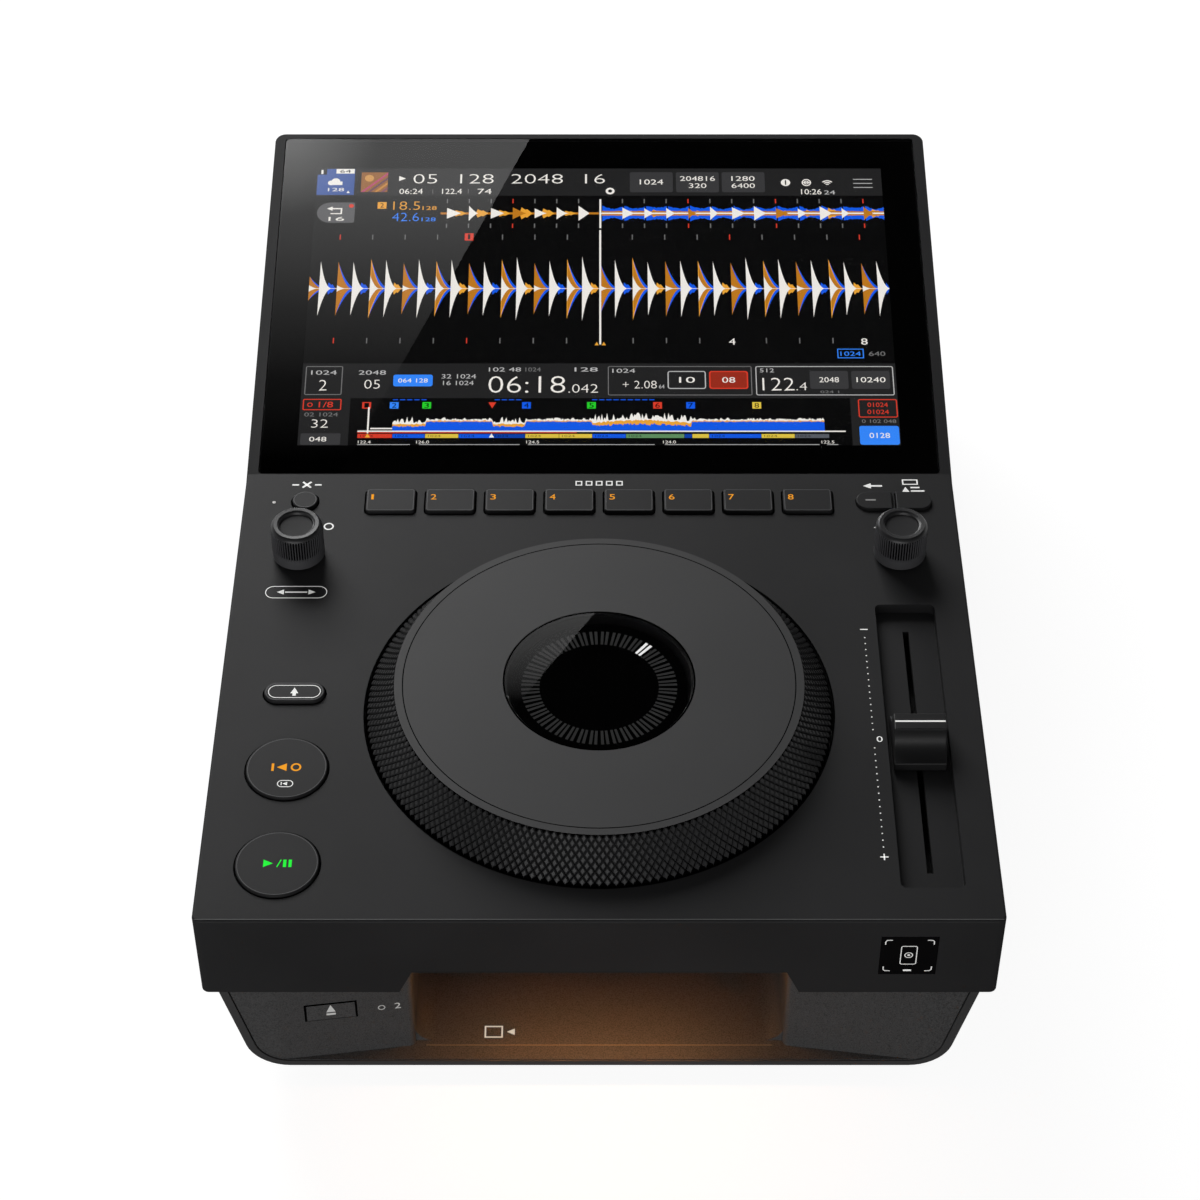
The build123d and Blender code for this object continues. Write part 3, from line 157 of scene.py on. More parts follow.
class ScreenPicture(bpy.types.PropertyGroup):
    brightness: bpy.props.FloatProperty(
        name="Brightness", description="Strength of the lit picture", default=1.08, min=0.0, max=5.0
    )
    seed: bpy.props.IntProperty(name="Seed", description="Seed of the drawn sound waves", default=7, min=0)
    beats: bpy.props.IntProperty(
        name="Beats", description="Beats across the large wave", default=18, min=4, max=60
    )
    ground: colour_property("Ground", "Dark ground of the picture", (0.0018, 0.0018, 0.0019))
    bar: colour_property("Bars", "Grey of the bars and columns round the waves", (0.0155, 0.0155, 0.016))
    button: colour_property("Button", "Grey of the drawn buttons", (0.04, 0.04, 0.042))
    grey: colour_property("Grey", "Lines and faint figures", (0.17, 0.17, 0.17))
    pale: colour_property("Pale", "Small figures", (0.5, 0.5, 0.5))
    white: colour_property("White", "Bright part of the waves and the digits", (0.86, 0.83, 0.78))
    orange: colour_property("Orange", "Middle part of the waves", (0.5, 0.185, 0.012))
    amber: colour_property("Amber", "Amber figures and edges of the waves", (0.8, 0.36, 0.035))
    blue: colour_property("Blue", "Low part of the waves", (0.006, 0.1, 0.78))
    sky_blue: colour_property("Sky blue", "Blue figures and buttons", (0.035, 0.24, 0.95))
    red: colour_property("Red", "Warning boxes and ticks", (0.68, 0.045, 0.022))
    yellow: colour_property("Yellow", "Yellow flags and stretches", (0.75, 0.55, 0.06))
    green: colour_property("Green", "Green flags and stretches", (0.02, 0.6, 0.025))


class StudioSetup(bpy.types.PropertyGroup):
    key_power: bpy.props.FloatProperty(
        name="Key light", description="Power of the large soft light, in watts", default=38.0, min=0.0
    )
    fill_power: bpy.props.FloatProperty(
        name="Fill light", description="Power of the low front light, in watts", default=12.5, min=0.0
    )
    bay_power: bpy.props.FloatProperty(
        name="Bay light", description="Power of the lamp in the bay, in watts", default=0.083, min=0.0
    )
    sky: bpy.props.FloatProperty(
        name="Room light", description="Even light from all round", default=0.16, min=0.0, max=2.0
    )


GROUPS = {
    "dj_colours": PlayerColours,
    "dj_wheel": WheelSizes,
    "dj_knobs": KnobSizes,
    "dj_picture": ScreenPicture,
    "dj_studio": StudioSetup,
}


def settings(name):
    return getattr(bpy.context.scene, name)


# ---- making meshes ----
def link(obj):
    bpy.context.scene.collection.objects.link(obj)
    return obj


def piece_from(name, points, faces, soft_angle=None):
    """A mesh piece from points in millimetres, smooth over edges flatter than soft_angle degrees."""
    mesh = bpy.data.meshes.new(name)
    mesh.from_pydata([Vector(p) * MM for p in points], [], faces)
    mesh.validate()
    if soft_angle is not None:
        shade_soft(mesh, soft_angle)
    return link(bpy.data.objects.new(name, mesh))


def shade_soft(mesh, angle):
    mesh.polygons.foreach_set("use_smooth", [True] * len(mesh.polygons))
    mesh.set_sharp_from_angle(angle=math.radians(angle))
    mesh.update()


def lathe(name, outline, centre, steps, soft_angle=32):
    """A closed piece turned about an upright axis. The outline is (radius, height) pairs, anticlockwise."""
    points = []
    faces = []
    rings = []
    for radius, height in outline:
        if radius < 1e-6:
            points.append((centre[0], centre[1], height))
            rings.append([len(points) - 1] * steps)
            continue
        first = len(points)
        points += [(x, y, height) for x, y in circle(centre[0], centre[1], radius, steps)]
        rings.append(list(range(first, first + steps)))
    for k, low in enumerate(rings):
        high = rings[(k + 1) % len(rings)]
        for i in range(steps):
            j = (i + 1) % steps
            corners = [low[i], low[j], high[j], high[i]]
            corners = [c for n, c in enumerate(corners) if c not in corners[:n]]
            if len(corners) > 2:
                faces.append(corners)
    return piece_from(name, points, faces, soft_angle)


def give(piece, material, body, replaces=()):
    """Gives a finished piece its material and its body."""
    piece.data.materials.clear()
    piece.data.materials.append(material)
    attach(piece, body)
    if replaces:
        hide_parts(*replaces)
    return piece


def give_part(piece, material, wanted):
    """Gives a second material to the faces whose middle, in millimetres, is wanted."""
    piece.data.materials.append(material)
    last = len(piece.data.materials) - 1
    for face in piece.data.polygons:
        if wanted(face.center / MM):
            face.material_index = last


def dress(names, material):
    """Puts a material on solids whose shape is already right."""
    for name in names:
        nodes[name].data.materials.clear()
        nodes[name].data.materials.append(material)


def paint_ink(piece, colours):
    """Stores a colour at each corner of a piece, for the finishes that read it."""
    ink = piece.data.color_attributes.new("ink", "FLOAT_COLOR", "POINT")
    ink.data.foreach_set("color", [part for colour in colours for part in (*colour, 1.0)])


# ---- node trees ----
class NodeWriter:
    """Adds nodes to a tree from left to right, and wires them."""

    def __init__(self, tree):
        self.tree = tree
        self.column = 0

    def add(self, kind, **values):
        node = self.tree.nodes.new(kind)
        node.location = (180 * self.column, -60 * (self.column % 5))
        self.column += 1
        for name, value in values.items():
            setattr(node, name, value)
        return node

    def put(self, socket, value):
        """Wires another node's output to a socket, or sets the socket to a plain value."""
        if isinstance(value, bpy.types.NodeSocket):
            self.tree.links.new(value, socket)
        else:
            socket.default_value = value

    def fill(self, node, values):
        """Puts values on a node's inputs, each under the input's name or number."""
        for key, value in values.items():
            self.put(node.inputs[key], value)
        return node

    def maths(self, operation, first, second=0.0):
        node = self.add("ShaderNodeMath", operation=operation)
        return self.fill(node, {0: first, 1: second}).outputs[0]

    def vector_maths(self, operation, first, second):
        node = self.add("ShaderNodeVectorMath", operation=operation)
        return self.fill(node, {0: first, 1: second}).outputs[0]

    def scaled(self, vector, factor):
        node = self.add("ShaderNodeVectorMath", operation="SCALE")
        return self.fill(node, {0: vector, "Scale": factor}).outputs[0]

    def vector(self, x, y, z):
        return self.fill(self.add("ShaderNodeCombineXYZ"), {0: x, 1: y, 2: z}).outputs[0]


def new_tree(name, inputs):
    """A node tree with a shape as its first input, named sizes after it and a material last."""
    tree = bpy.data.node_groups.new(name, "GeometryNodeTree")
    sockets = tree.interface
    sockets.new_socket("Shape", in_out="INPUT", socket_type="NodeSocketGeometry")
    for label, kind, default in inputs:
        socket = sockets.new_socket(label, in_out="INPUT", socket_type=f"NodeSocket{kind}")
        socket.default_value = default
    sockets.new_socket("Material", in_out="INPUT", socket_type="NodeSocketMaterial")
    sockets.new_socket("Pieces", in_out="OUTPUT", socket_type="NodeSocketGeometry")
    return tree


class LayoutWriter(NodeWriter):
    """Writes a tree that puts copies of its input shape in place."""

    def __init__(self, tree):
        super().__init__(tree)
        self.start = self.add("NodeGroupInput").outputs
        self.index = self.add("GeometryNodeInputIndex").outputs[0]

    def round_centre(self, angle, radius, height):
        """A place at an angle and a radius round the input centre."""
        x = self.maths("MULTIPLY", self.maths("COSINE", angle), radius)
        y = self.maths("MULTIPLY", self.maths("SINE", angle), radius)
        return self.vector_maths("ADD", self.vector(x, y, height), self.start["Centre"])

    def instances(self, count, position, turn=(0.0, 0.0, 0.0), size=(1.0, 1.0, 1.0)):
        """Puts the input shape at each of count points, then makes plain mesh with the input material."""
        points = self.fill(self.add("GeometryNodePoints"), {"Count": count, "Position": position})
        place = self.fill(self.add("GeometryNodeInstanceOnPoints"), {
            "Points": points.outputs[0],
            "Instance": self.start["Shape"],
            "Rotation": turn,
            "Scale": size,
        })
        real = self.fill(self.add("GeometryNodeRealizeInstances"), {0: place.outputs[0]})
        paint = self.add("GeometryNodeSetMaterial")
        self.fill(paint, {"Geometry": real.outputs[0], "Material": self.start["Material"]})
        self.fill(self.add("NodeGroupOutput"), {0: paint.outputs[0]})


def ring_tree():
    """Shapes in a ring, each turned to face outwards. They stand in clusters of one or more."""
    tree = new_tree("Ring of parts", [
        ("Count", "Int", 12),
        ("Cluster", "Int", 1),
        ("Cluster Angle", "Float", 0.0),
        ("Start Angle", "Float", 0.0),
        ("Radius", "Float", 0.01),
        ("Centre", "Vector", (0.0, 0.0, 0.0)),
    ])
    w = LayoutWriter(tree)
    start = w.start
    total = w.maths("MULTIPLY", start["Count"], start["Cluster"])
    group = w.maths("FLOOR", w.maths("DIVIDE", w.index, start["Cluster"]))
    member = w.maths("SUBTRACT", w.index, w.maths("MULTIPLY", group, start["Cluster"]))
    step = w.maths("DIVIDE", 2 * math.pi, start["Count"])
    middle = w.maths("MULTIPLY", w.maths("SUBTRACT", start["Cluster"], 1.0), 0.5)
    offset = w.maths("MULTIPLY", w.maths("SUBTRACT", member, middle), start["Cluster Angle"])
    angle = w.maths("ADD", w.maths("MULTIPLY", group, step), w.maths("ADD", offset, start["Start Angle"]))
    w.instances(total, w.round_centre(angle, start["Radius"], 0.0), w.vector(0.0, 0.0, angle))
    return tree


def knurl_tree():
    """Studs in rows down a cone, every other row moved on by half a stud, grown to suit the row's radius."""
    tree = new_tree("Knurled cone", [
        ("Around", "Int", 24),
        ("Rows", "Int", 4),
        ("Top Radius", "Float", 0.05),
        ("Foot Radius", "Float", 0.06),
        ("Top Height", "Float", 0.02),
        ("Foot Height", "Float", 0.01),
        ("Centre", "Vector", (0.0, 0.0, 0.0)),
    ])
    w = LayoutWriter(tree)
    start = w.start
    total = w.maths("MULTIPLY", start["Around"], start["Rows"])
    row = w.maths("FLOOR", w.maths("DIVIDE", w.maths("ADD", w.index, 0.5), start["Around"]))
    column = w.maths("SUBTRACT", w.index, w.maths("MULTIPLY", row, start["Around"]))
    shift = w.maths("MULTIPLY", w.maths("MODULO", row, 2.0), 0.5)
    step = w.maths("DIVIDE", 2 * math.pi, start["Around"])
    angle = w.maths("MULTIPLY", w.maths("ADD", column, shift), step)
    share = w.maths("DIVIDE", w.maths("ADD", row, 0.5), start["Rows"])
    widen = w.maths("SUBTRACT", start["Foot Radius"], start["Top Radius"])
    drop = w.maths("SUBTRACT", start["Foot Height"], start["Top Height"])
    radius = w.maths("ADD", start["Top Radius"], w.maths("MULTIPLY", widen, share))
    height = w.maths("ADD", start["Top Height"], w.maths("MULTIPLY", drop, share))
    slope = w.maths("ARCTAN2", w.maths("MULTIPLY", drop, -1.0), widen)
    grow = w.maths("DIVIDE", radius, start["Foot Radius"])
    place = w.round_centre(angle, radius, height)
    w.instances(total, place, w.vector(0.0, slope, angle), w.vector(1.0, grow, 1.0))
    return tree


def row_tree():
    """Shapes in a straight row."""
    tree = new_tree("Row of parts", [
        ("Count", "Int", 10),
        ("First", "Vector", (0.0, 0.0, 0.0)),
        ("Step", "Vector", (0.0, 0.01, 0.0)),
    ])
    w = LayoutWriter(tree)
    along = w.scaled(w.start["Step"], w.index)
    w.instances(w.start["Count"], w.vector_maths("ADD", along, w.start["First"]))
    return tree


def grown(name, tree, shape, material, **sizes):
    """Runs a tree on a small shape and returns the result as one plain mesh piece."""
    modifier = shape.modifiers.new("Layout", "NODES")
    modifier.node_group = tree
    sizes["Material"] = material
    for item in tree.interface.items_tree:
        if item.item_type == "SOCKET" and item.in_out == "INPUT":
            key = item.name.replace(" ", "_").lower()
            value = sizes.get(item.name, sizes.get(key))
            if value is not None:
                modifier[item.identifier] = value
    shape.update_tag()
    graph = bpy.context.evaluated_depsgraph_get()
    mesh = bpy.data.meshes.new_from_object(shape.evaluated_get(graph))
    shape.modifiers.clear()
    bpy.data.objects.remove(shape)
    mesh.name = name
    return link(bpy.data.objects.new(name, mesh))


# ---- printed and lit marks ----
class Marks:
    """Thin coloured shapes on one surface, gathered into a single closed mesh that carries its colours."""

    thick = 0.012

    def __init__(self, place):
        self.place = place
        self.points = []
        self.faces = []
        self.colours = []

    def _layer(self, outline, level):
        """Adds the lower and then the upper corners of an outline, and returns where they start."""
        first = len(self.points)
        top = self.thick * (level + 1)
        for height in (top - self.thick * 0.9, top):
            self.points += [self.place(u, v, height) for u, v in outline]
        return first

    def shape(self, outline, colour, level=0):
        """A filled outline."""
        turning = sum(a[0] * b[1] - b[0] * a[1] for a, b in zip(outline, outline[1:] + outline[:1]))
        if turning < 0:
            outline = outline[::-1]
        count = len(outline)
        low = self._layer(outline, level)
        high = low + count
        self.faces.append(list(range(high, high + count)))
        self.faces.append(list(range(low + count - 1, low - 1, -1)))
        for i in range(count):
            j = (i + 1) % count
            self.faces.append([low + i, low + j, high + j, high + i])
        self.colours += [colour] * (2 * count)

    def band(self, outer, inner, colour, level=0):
        """A closed strip between two outlines of equal count."""
        count = len(outer)
        out_low = self._layer(outer, level)
        in_low = self._layer(inner, level)
        out_high = out_low + count
        in_high = in_low + count
        for i in range(count):
            j = (i + 1) % count
            self.faces.append([out_high + i, out_high + j, in_high + j, in_high + i])
            self.faces.append([out_low + j, out_low + i, in_low + i, in_low + j])
            self.faces.append([out_low + i, out_low + j, out_high + j, out_high + i])
            self.faces.append([in_low + j, in_low + i, in_high + i, in_high + j])
        self.colours += [colour] * (4 * count)

    def box(self, u0, v0, u1, v1, colour, level=0, corner=0.0):
        self.shape(rounded(u0, v0, u1, v1, corner), colour, level)

    def frame(self, u0, v0, u1, v1, line, colour, level=0, corner=0.0):
        inner = rounded(u0 + line, v0 + line, u1 - line, v1 - line, max(corner - line, 0.0), corner > 0)
        self.band(rounded(u0, v0, u1, v1, corner), inner, colour, level)

    def disc(self, u, v, radius, colour, level=0):
        self.shape(circle(u, v, radius), colour, level)

    def ring(self, u, v, radius, line, colour, level=0):
        self.band(circle(u, v, radius), circle(u, v, radius - line), colour, level)

    def arrow(self, u, v, size, turn, colour, level=0):
        """A solid triangle that points to the right, turned anticlockwise by so many degrees."""
        corners = [(-0.5 * size, -0.5 * size), (0.5 * size, 0.0), (-0.5 * size, 0.5 * size)]
        self.shape(turned(corners, math.radians(turn), u, v), colour, level)

    def bar(self, u, v, long, wide, turn, colour, level=0):
        """A straight bar, turned about its middle by so many degrees."""
        corners = rounded(-long / 2, -wide / 2, long / 2, wide / 2, 0.0)
        self.shape(turned(corners, math.radians(turn), u, v), colour, level)

    def digits(self, text, left, right, v, height, colour, level=0):
        """Plain figures of the given height that run from left to right, with v at their foot."""
        corners, faces = figure_mesh(text, height > 3.4)
        tall = height / max(p.y for p in corners)
        low = min(p.x for p in corners)
        wide = (right - left) / (max(p.x for p in corners) - low)
        first = len(self.points)
        base = self.thick * level
        for p in corners:
            lift = base + self.thick * (1.0 if p.z > 0 else 0.1)
            self.points.append(self.place(left + (p.x - low) * wide, v + p.y * tall, lift))
        self.faces += [[first + c for c in face] for face in faces]
        self.colours += [colour] * len(corners)

    def piece(self, name, material, body, slot=None):
        piece = piece_from(name, self.points, self.faces)
        if len(piece.data.vertices) != len(self.colours):
            raise RuntimeError(f"{name} lost some of its corners")
        paint_ink(piece, self.colours)
        return give(piece, material, body)


def figure_mesh(text, thin):
    """Points and faces of a line of plain figures, with a little thickness."""
    curve = bpy.data.curves.new("figures", "FONT")
    curve.body = text
    curve.extrude = 0.01
    curve.offset = -0.015 if thin else 0.0
    curve.resolution_u = 3
    holder = link(bpy.data.objects.new("figures", curve))
    graph = bpy.context.evaluated_depsgraph_get()
    mesh = bpy.data.meshes.new_from_object(holder.evaluated_get(graph))
    points = [v.co.copy() for v in mesh.vertices]
    faces = [list(p.vertices) for p in mesh.polygons]
    bpy.data.objects.remove(holder)
    bpy.data.meshes.remove(mesh)
    bpy.data.curves.remove(curve)
    return points, faces


def turned(corners, angle, u=0.0, v=0.0):
    """Corners turned by an angle in radians, and then moved."""
    c = math.cos(angle)
    s = math.sin(angle)
    return [(u + c * a - s * b, v + s * a + c * b) for a, b in corners]


def circle(u, v, radius, steps=28):
    return [
        (u + radius * math.cos(2 * math.pi * i / steps), v + radius * math.sin(2 * math.pi * i / steps))
        for i in range(steps)
    ]


def rounded(u0, v0, u1, v1, corner, keep_count=False):
    """Corners of a rectangle, each replaced by a quarter circle where it is rounded."""
    if corner <= 0 and not keep_count:
        return [(u0, v0), (u1, v0), (u1, v1), (u0, v1)]
    outline = []
    for cu, cv, start in ((u1, v0, -90), (u1, v1, 0), (u0, v1, 90), (u0, v0, 180)):
        middle_u = cu - corner if cu == u1 else cu + corner
        middle_v = cv - corner if cv == v1 else cv + corner
        for i in range(6):
            angle = math.radians(start + 90 * i / 5)
            outline.append((middle_u + corner * math.cos(angle), middle_v + corner * math.sin(angle)))
    return outline


def deck_place(level):
    """Places marks on a level surface, with v measured from the front edge."""
    return lambda u, v, w: (u, FRONT_Y + v, level + w)


def screen_place(depth):
    """Places marks on a plane parallel to the glass, depth below the slope of the cover."""
    c = math.cos(SCREEN_TILT)
    s = math.sin(SCREEN_TILT)

    def place(u, v, w):
        lift = w - depth
        return (u, CREASE_Y + v * c - lift * s, DECK_Z + v * s + lift * c)

    return place


def front_place(level):
    """Places marks on an upright surface that faces the user, with v as the height."""
    return lambda u, v, w: (u, level - w, v)


def facet_place(x, height, sunk=-PRINT_LIFT, lean=0.0):
    """Places marks on the slanted face left of the bay, or on a face sunk into it that leans back."""
    y = FACET_Y + FACET_BACK * (FACET_OUTER_X + x) / FACET_RUN
    slant = math.atan2(FACET_BACK, FACET_RUN)
    c = math.cos(slant)
    s = math.sin(slant)

    def place(u, v, w):
        back = sunk + v * math.tan(lean) - w
        return (x + u * c - back * s, y + u * s + back * c, height + v)

    return place


# ---- materials ----
class MaterialWriter(NodeWriter):
    """Writes the nodes of a finish. Sizes are in metres."""

    def place(self):
        return self.add("ShaderNodeTexCoord").outputs["Object"]

    def axis(self, place, name):
        return self.fill(self.add("ShaderNodeSeparateXYZ"), {0: place}).outputs[name]

    def noise(self, place, size, detail=2.0):
        """Noise whose blotches are about this size."""
        node = self.add("ShaderNodeTexNoise")
        return self.fill(node, {"Vector": place, "Scale": 1.0 / size, "Detail": detail}).outputs["Fac"]

    def ramp(self, factor, stops):
        """Colours by a factor; stops are (position, colour) pairs."""
        node = self.fill(self.add("ShaderNodeValToRGB"), {"Fac": factor})
        ramp = node.color_ramp
        while len(ramp.elements) < len(stops):
            ramp.elements.new(0.5)
        for element, (position, colour) in zip(ramp.elements, stops):
            element.position = position
            element.color = (*colour, 1.0)
        return node.outputs["Color"]

    def mottle(self, size, dark, pale):
        """A colour that drifts between two tones, in blotches of about this size."""
        return self.ramp(self.noise(self.place(), size), [(0.3, dark), (0.7, pale)])

    def span(self, factor, low, high, low_from=0.0, high_from=1.0):
        """A factor stretched to run between two values."""
        node = self.fill(self.add("ShaderNodeMapRange"), {
            "Value": factor,
            "From Min": low_from,
            "From Max": high_from,
            "To Min": low,
            "To Max": high,
        })
        return node.outputs["Result"]

    def bump(self, height, depth):
        node = self.add("ShaderNodeBump")
        return self.fill(node, {"Height": height, "Strength": 1.0, "Distance": depth}).outputs["Normal"]

    def ink(self):
        """The colour that each mark carries."""
        return self.add("ShaderNodeAttribute", attribute_name="ink").outputs["Color"]


def new_material(name):
    material = bpy.data.materials.new(name)
    material.use_nodes = True
    tree = material.node_tree
    return material, MaterialWriter(tree), tree.nodes["Principled BSDF"]


def shade(colour, factor):
    return tuple(min(1.0, part * factor) for part in colour)


def grained(name, colour, rough, grain, depth, drift=0.12, specular=0.5, metallic=0.0, specks=None):
    """A fine grain in gloss and surface, over a tone that drifts slowly or is broken up by specks.

    The specks are given as three shares of the colour: for the dark ones, the ground and the pale ones.
    """
    material, w, shader = new_material(name)
    place = w.place()
    fine = w.noise(place, grain, detail=3.0)
    if specks:
        stops = [(position, shade(colour, share)) for position, share in zip((0.32, 0.5, 0.68), specks)]
        tone = w.ramp(w.noise(place, 0.0004), stops)
    else:
        stops = [(0.3, shade(colour, 1 - drift)), (0.7, shade(colour, 1 + drift))]
        tone = w.ramp(w.noise(place, 0.05), stops)
    w.fill(shader, {
        "Base Color": tone,
        "Roughness": w.span(fine, rough - 0.05, rough + 0.05, 0.3, 0.7),
        "Normal": w.bump(fine, depth),
        "Specular IOR Level": specular,
        "Metallic": metallic,
    })
    return material


def cover_coating(colours):
    """Satin coating with a very fine grain."""
    return grained("cover_coating", colours.cover, 0.52, 0.00035, 0.000012, specular=0.13)


def tub_plastic(colours):
    return grained("tub_plastic", colours.tub, 0.55, 0.0006, 0.00003, specular=0.3)


def key_plastic(colours):
    return grained("key_plastic", colours.key, 0.48, 0.0003, 0.000006, specular=0.13)


def speckled_plastic(colours):
    """Charcoal plastic with fine dark and pale specks."""
    specks = (0.45, 1.0, 1.3)
    return grained("speckled_plastic", colours.panel, 0.5, 0.0004, 0.00003, specular=0.4, specks=specks)


def bay_plastic(colours):
    """The same plastic deep in the bay, where the amber light falls on it, with its ground painted darker
    than the panel's as shade.
    """
    specks = (0.25, 0.6, 1.9)
    return grained("bay_plastic", colours.panel, 0.55, 0.0005, 0.00003, specular=0.2, specks=specks)


def milky_amber(colours):
    """The light bar under the ceiling of the bay."""
    material, w, shader = new_material("milky_amber")
    glow = w.mottle(0.02, shade(colours.bay_light, 0.85), colours.bay_light)
    w.fill(shader, {"Base Color": glow, "Emission Color": glow, "Emission Strength": 2.0, "Roughness": 0.3})
    return material


def polished_black(_colours):
    """Gloss black plastic with the faintest smear in its polish."""
    material, w, shader = new_material("polished_black")
    smear = w.noise(w.place(), 0.02, detail=3.0)
    tone = w.ramp(smear, [(0.3, (0.002, 0.002, 0.0025)), (0.7, (0.0035, 0.0035, 0.004))])
    w.fill(shader, {"Base Color": tone, "Roughness": w.span(smear, 0.03, 0.06), "Specular IOR Level": 0.08})
    return material


def clear_glass(name, tint):
    """Polished cover glass."""
    material, w, shader = new_material(name)
    smear = w.noise(w.place(), 0.03, detail=3.0)
    w.fill(shader, {
        "Base Color": w.ramp(smear, [(0.2, tint), (0.8, shade(tint, 1.02))]),
        "Roughness": w.span(smear, 0.0, 0.001),
        "Transmission Weight": 1.0,
        "IOR": 1.5,
    })
    return material


def dull_black(name, size, dark, pale, rough):
    """Black without any gloss, mottled in blotches of about this size."""
    material, w, shader = new_material(name)
    w.fill(shader, {"Base Color": w.mottle(size, dark, pale), "Roughness": rough, "Specular IOR Level": 0.0})
    return material


def screen_black(_colours):
    """The dark ground of a display."""
    return dull_black("screen_black", 0.01, (0.0008, 0.0008, 0.001), (0.0014, 0.0014, 0.0016), 0.6)


def hidden_ink(_colours):
    """Black print on the back of a glass, and black paint that stands for shade in gaps, in grooves and on
    the rim's body under its studs.
    """
    return dull_black("hidden_ink", 0.004, (0.0008, 0.0008, 0.0009), (0.0013, 0.0013, 0.0014), 0.7)


def lit_ink(name, strength):
    """Marks that shine with the colour each of them carries."""
    material, w, shader = new_material(name)
    w.fill(shader, {
        "Base Color": (0.01, 0.01, 0.01, 1.0),
        "Emission Color": w.ink(),
        "Emission Strength": strength,
        "Roughness": w.span(w.noise(w.place(), 0.002), 0.55, 0.7),
        "Specular IOR Level": 0.0,
    })
    return material


def lit_marks(_colours):
    return lit_ink("lit_marks", 1.0)


def printed_ink(_colours):
    """Screen-printed marks, and painted highlights drawn the same way: the colour each of them carries,
    slightly uneven, with a faint painted glow.
    """
    material, w, shader = new_material("printed_ink")
    fleck = w.span(w.noise(w.place(), 0.0004), 0.92, 1.04, 0.3, 0.7)
    tone = w.scaled(w.ink(), fleck)
    w.fill(shader, {
        "Base Color": tone,
        "Emission Color": tone,
        # the faint glow is painted light: the ink is no lamp
        "Emission Strength": 0.28,
        "Roughness": w.span(fleck, 0.5, 0.65, 0.9, 1.05),
    })
    return material


def anodised_plate(colours):
    """Satin anodised sheet with a fine bead-blasted grain."""
    return grained("anodised_plate", colours.plate, 0.5, 0.0003, 0.000008, drift=0.05, specular=0.24)


def rim_plastic(colours):
    """Semi-gloss moulded plastic of the knurled rim."""
    return grained("rim_plastic", colours.rim, 0.38, 0.0008, 0.000006, specular=0.35)


def soft_coating(colours):
    """Satin coating of the knobs' sides and rings."""
    return grained("soft_coating", colours.knob, 0.4, 0.0004, 0.000004, specular=0.4)


def dish_coating(colours):
    """Duller coating in the dish on top of the knobs."""
    return grained("dish_coating", colours.knob, 0.6, 0.0004, 0.000008, specular=0.2)


def rib_coating(colours):
    """The same coating, painted lighter on the grip ribs and the lower side as a highlight for the light they
    catch.
    """
    return grained("rib_coating", shade(colours.knob, 4.0), 0.38, 0.0004, 0.000003, specular=0.4)


def fader_plastic(_colours):
    """Near-black semi-gloss plastic of the fader's cap."""
    return grained("fader_plastic", (0.014, 0.014, 0.0145), 0.42, 0.0005, 0.000003, specular=0.22)


def steel(name, colour, rough):
    """Rolled or plated steel with faint scratches along its length."""
    material, w, shader = new_material(name)
    stretch = w.fill(w.add("ShaderNodeMapping"), {"Vector": w.place(), "Scale": (1.0, 14.0, 14.0)})
    lines = w.noise(stretch.outputs[0], 0.006, detail=4.0)
    w.fill(shader, {
        "Base Color": w.ramp(lines, [(0.3, shade(colour, 0.85)), (0.7, shade(colour, 1.1))]),
        "Roughness": w.span(lines, rough - 0.08, rough + 0.08, 0.3, 0.7),
        "Normal": w.bump(lines, 0.000004),
        "Metallic": 1.0,
    })
    return material


def cast_metal(_colours):
    """Die-cast metal, dull and a little uneven."""
    return grained("cast_metal", (0.42, 0.42, 0.43), 0.5, 0.0012, 0.00005, drift=0.1, metallic=1.0)


def solder_mask(_colours):
    """Green circuit board with darker tracks."""
    material, w, shader = new_material("solder_mask")
    cells = w.add("ShaderNodeTexVoronoi", distance="MANHATTAN", feature="F1")
    tracks = w.fill(cells, {"Scale": 260.0, "Vector": w.place()}).outputs["Distance"]
    w.fill(shader, {
        "Base Color": w.ramp(tracks, [(0.3, (0.015, 0.09, 0.045)), (0.42, (0.008, 0.05, 0.026))]),
        "Roughness": w.span(tracks, 0.3, 0.45),
        "Normal": w.bump(tracks, 0.00003),
    })
    return material


def foot_rubber(_colours):
    return grained("foot_rubber", (0.014, 0.014, 0.015), 0.75, 0.0008, 0.00006, specular=0.3)


def inner_plastic(_colours):
    return grained("inner_plastic", (0.04, 0.04, 0.042), 0.5, 0.001, 0.00002)


def switch_plastic(_colours):
    return grained("switch_plastic", (0.012, 0.012, 0.013), 0.4, 0.0007, 0.00001)


def powder_coat(_colours):
    """Black powder-coated sheet with an orange-peel surface."""
    return grained("powder_coat", (0.014, 0.014, 0.015), 0.5, 0.0009, 0.00005, specular=0.4)


def lamp_clear(_colours):
    """Clear lens of the standby light, unlit."""
    material, w, shader = new_material("lamp_clear")
    w.fill(shader, {"Base Color": w.mottle(0.0005, (0.28, 0.26, 0.24), (0.4, 0.38, 0.36)), "Roughness": 0.2})
    return material


MATERIAL_MAKERS = {
    "cover": cover_coating,
    "tub": tub_plastic,
    "key": key_plastic,
    "panel": speckled_plastic,
    "bay": bay_plastic,
    "amber": milky_amber,
    "gloss": polished_black,
    "screen_black": screen_black,
    "ink": printed_ink,
    "hidden_ink": hidden_ink,
    "plate": anodised_plate,
    "rim": rim_plastic,
    "knob": soft_coating,
    "dish": dish_coating,
    "rib": rib_coating,
    "fader": fader_plastic,
    "lit": lit_marks,
    "cast": cast_metal,
    "board": solder_mask,
    "foot": foot_rubber,
    "inner": inner_plastic,
    "switch": switch_plastic,
    "powder": powder_coat,
    "lamp": lamp_clear,
}
made_materials = {}


def finish_of(name):
    """The named finish, made when it is first asked for."""
    if name not in made_materials:
        made_materials[name] = MATERIAL_MAKERS[name](settings("dj_colours"))
    return made_materials[name]


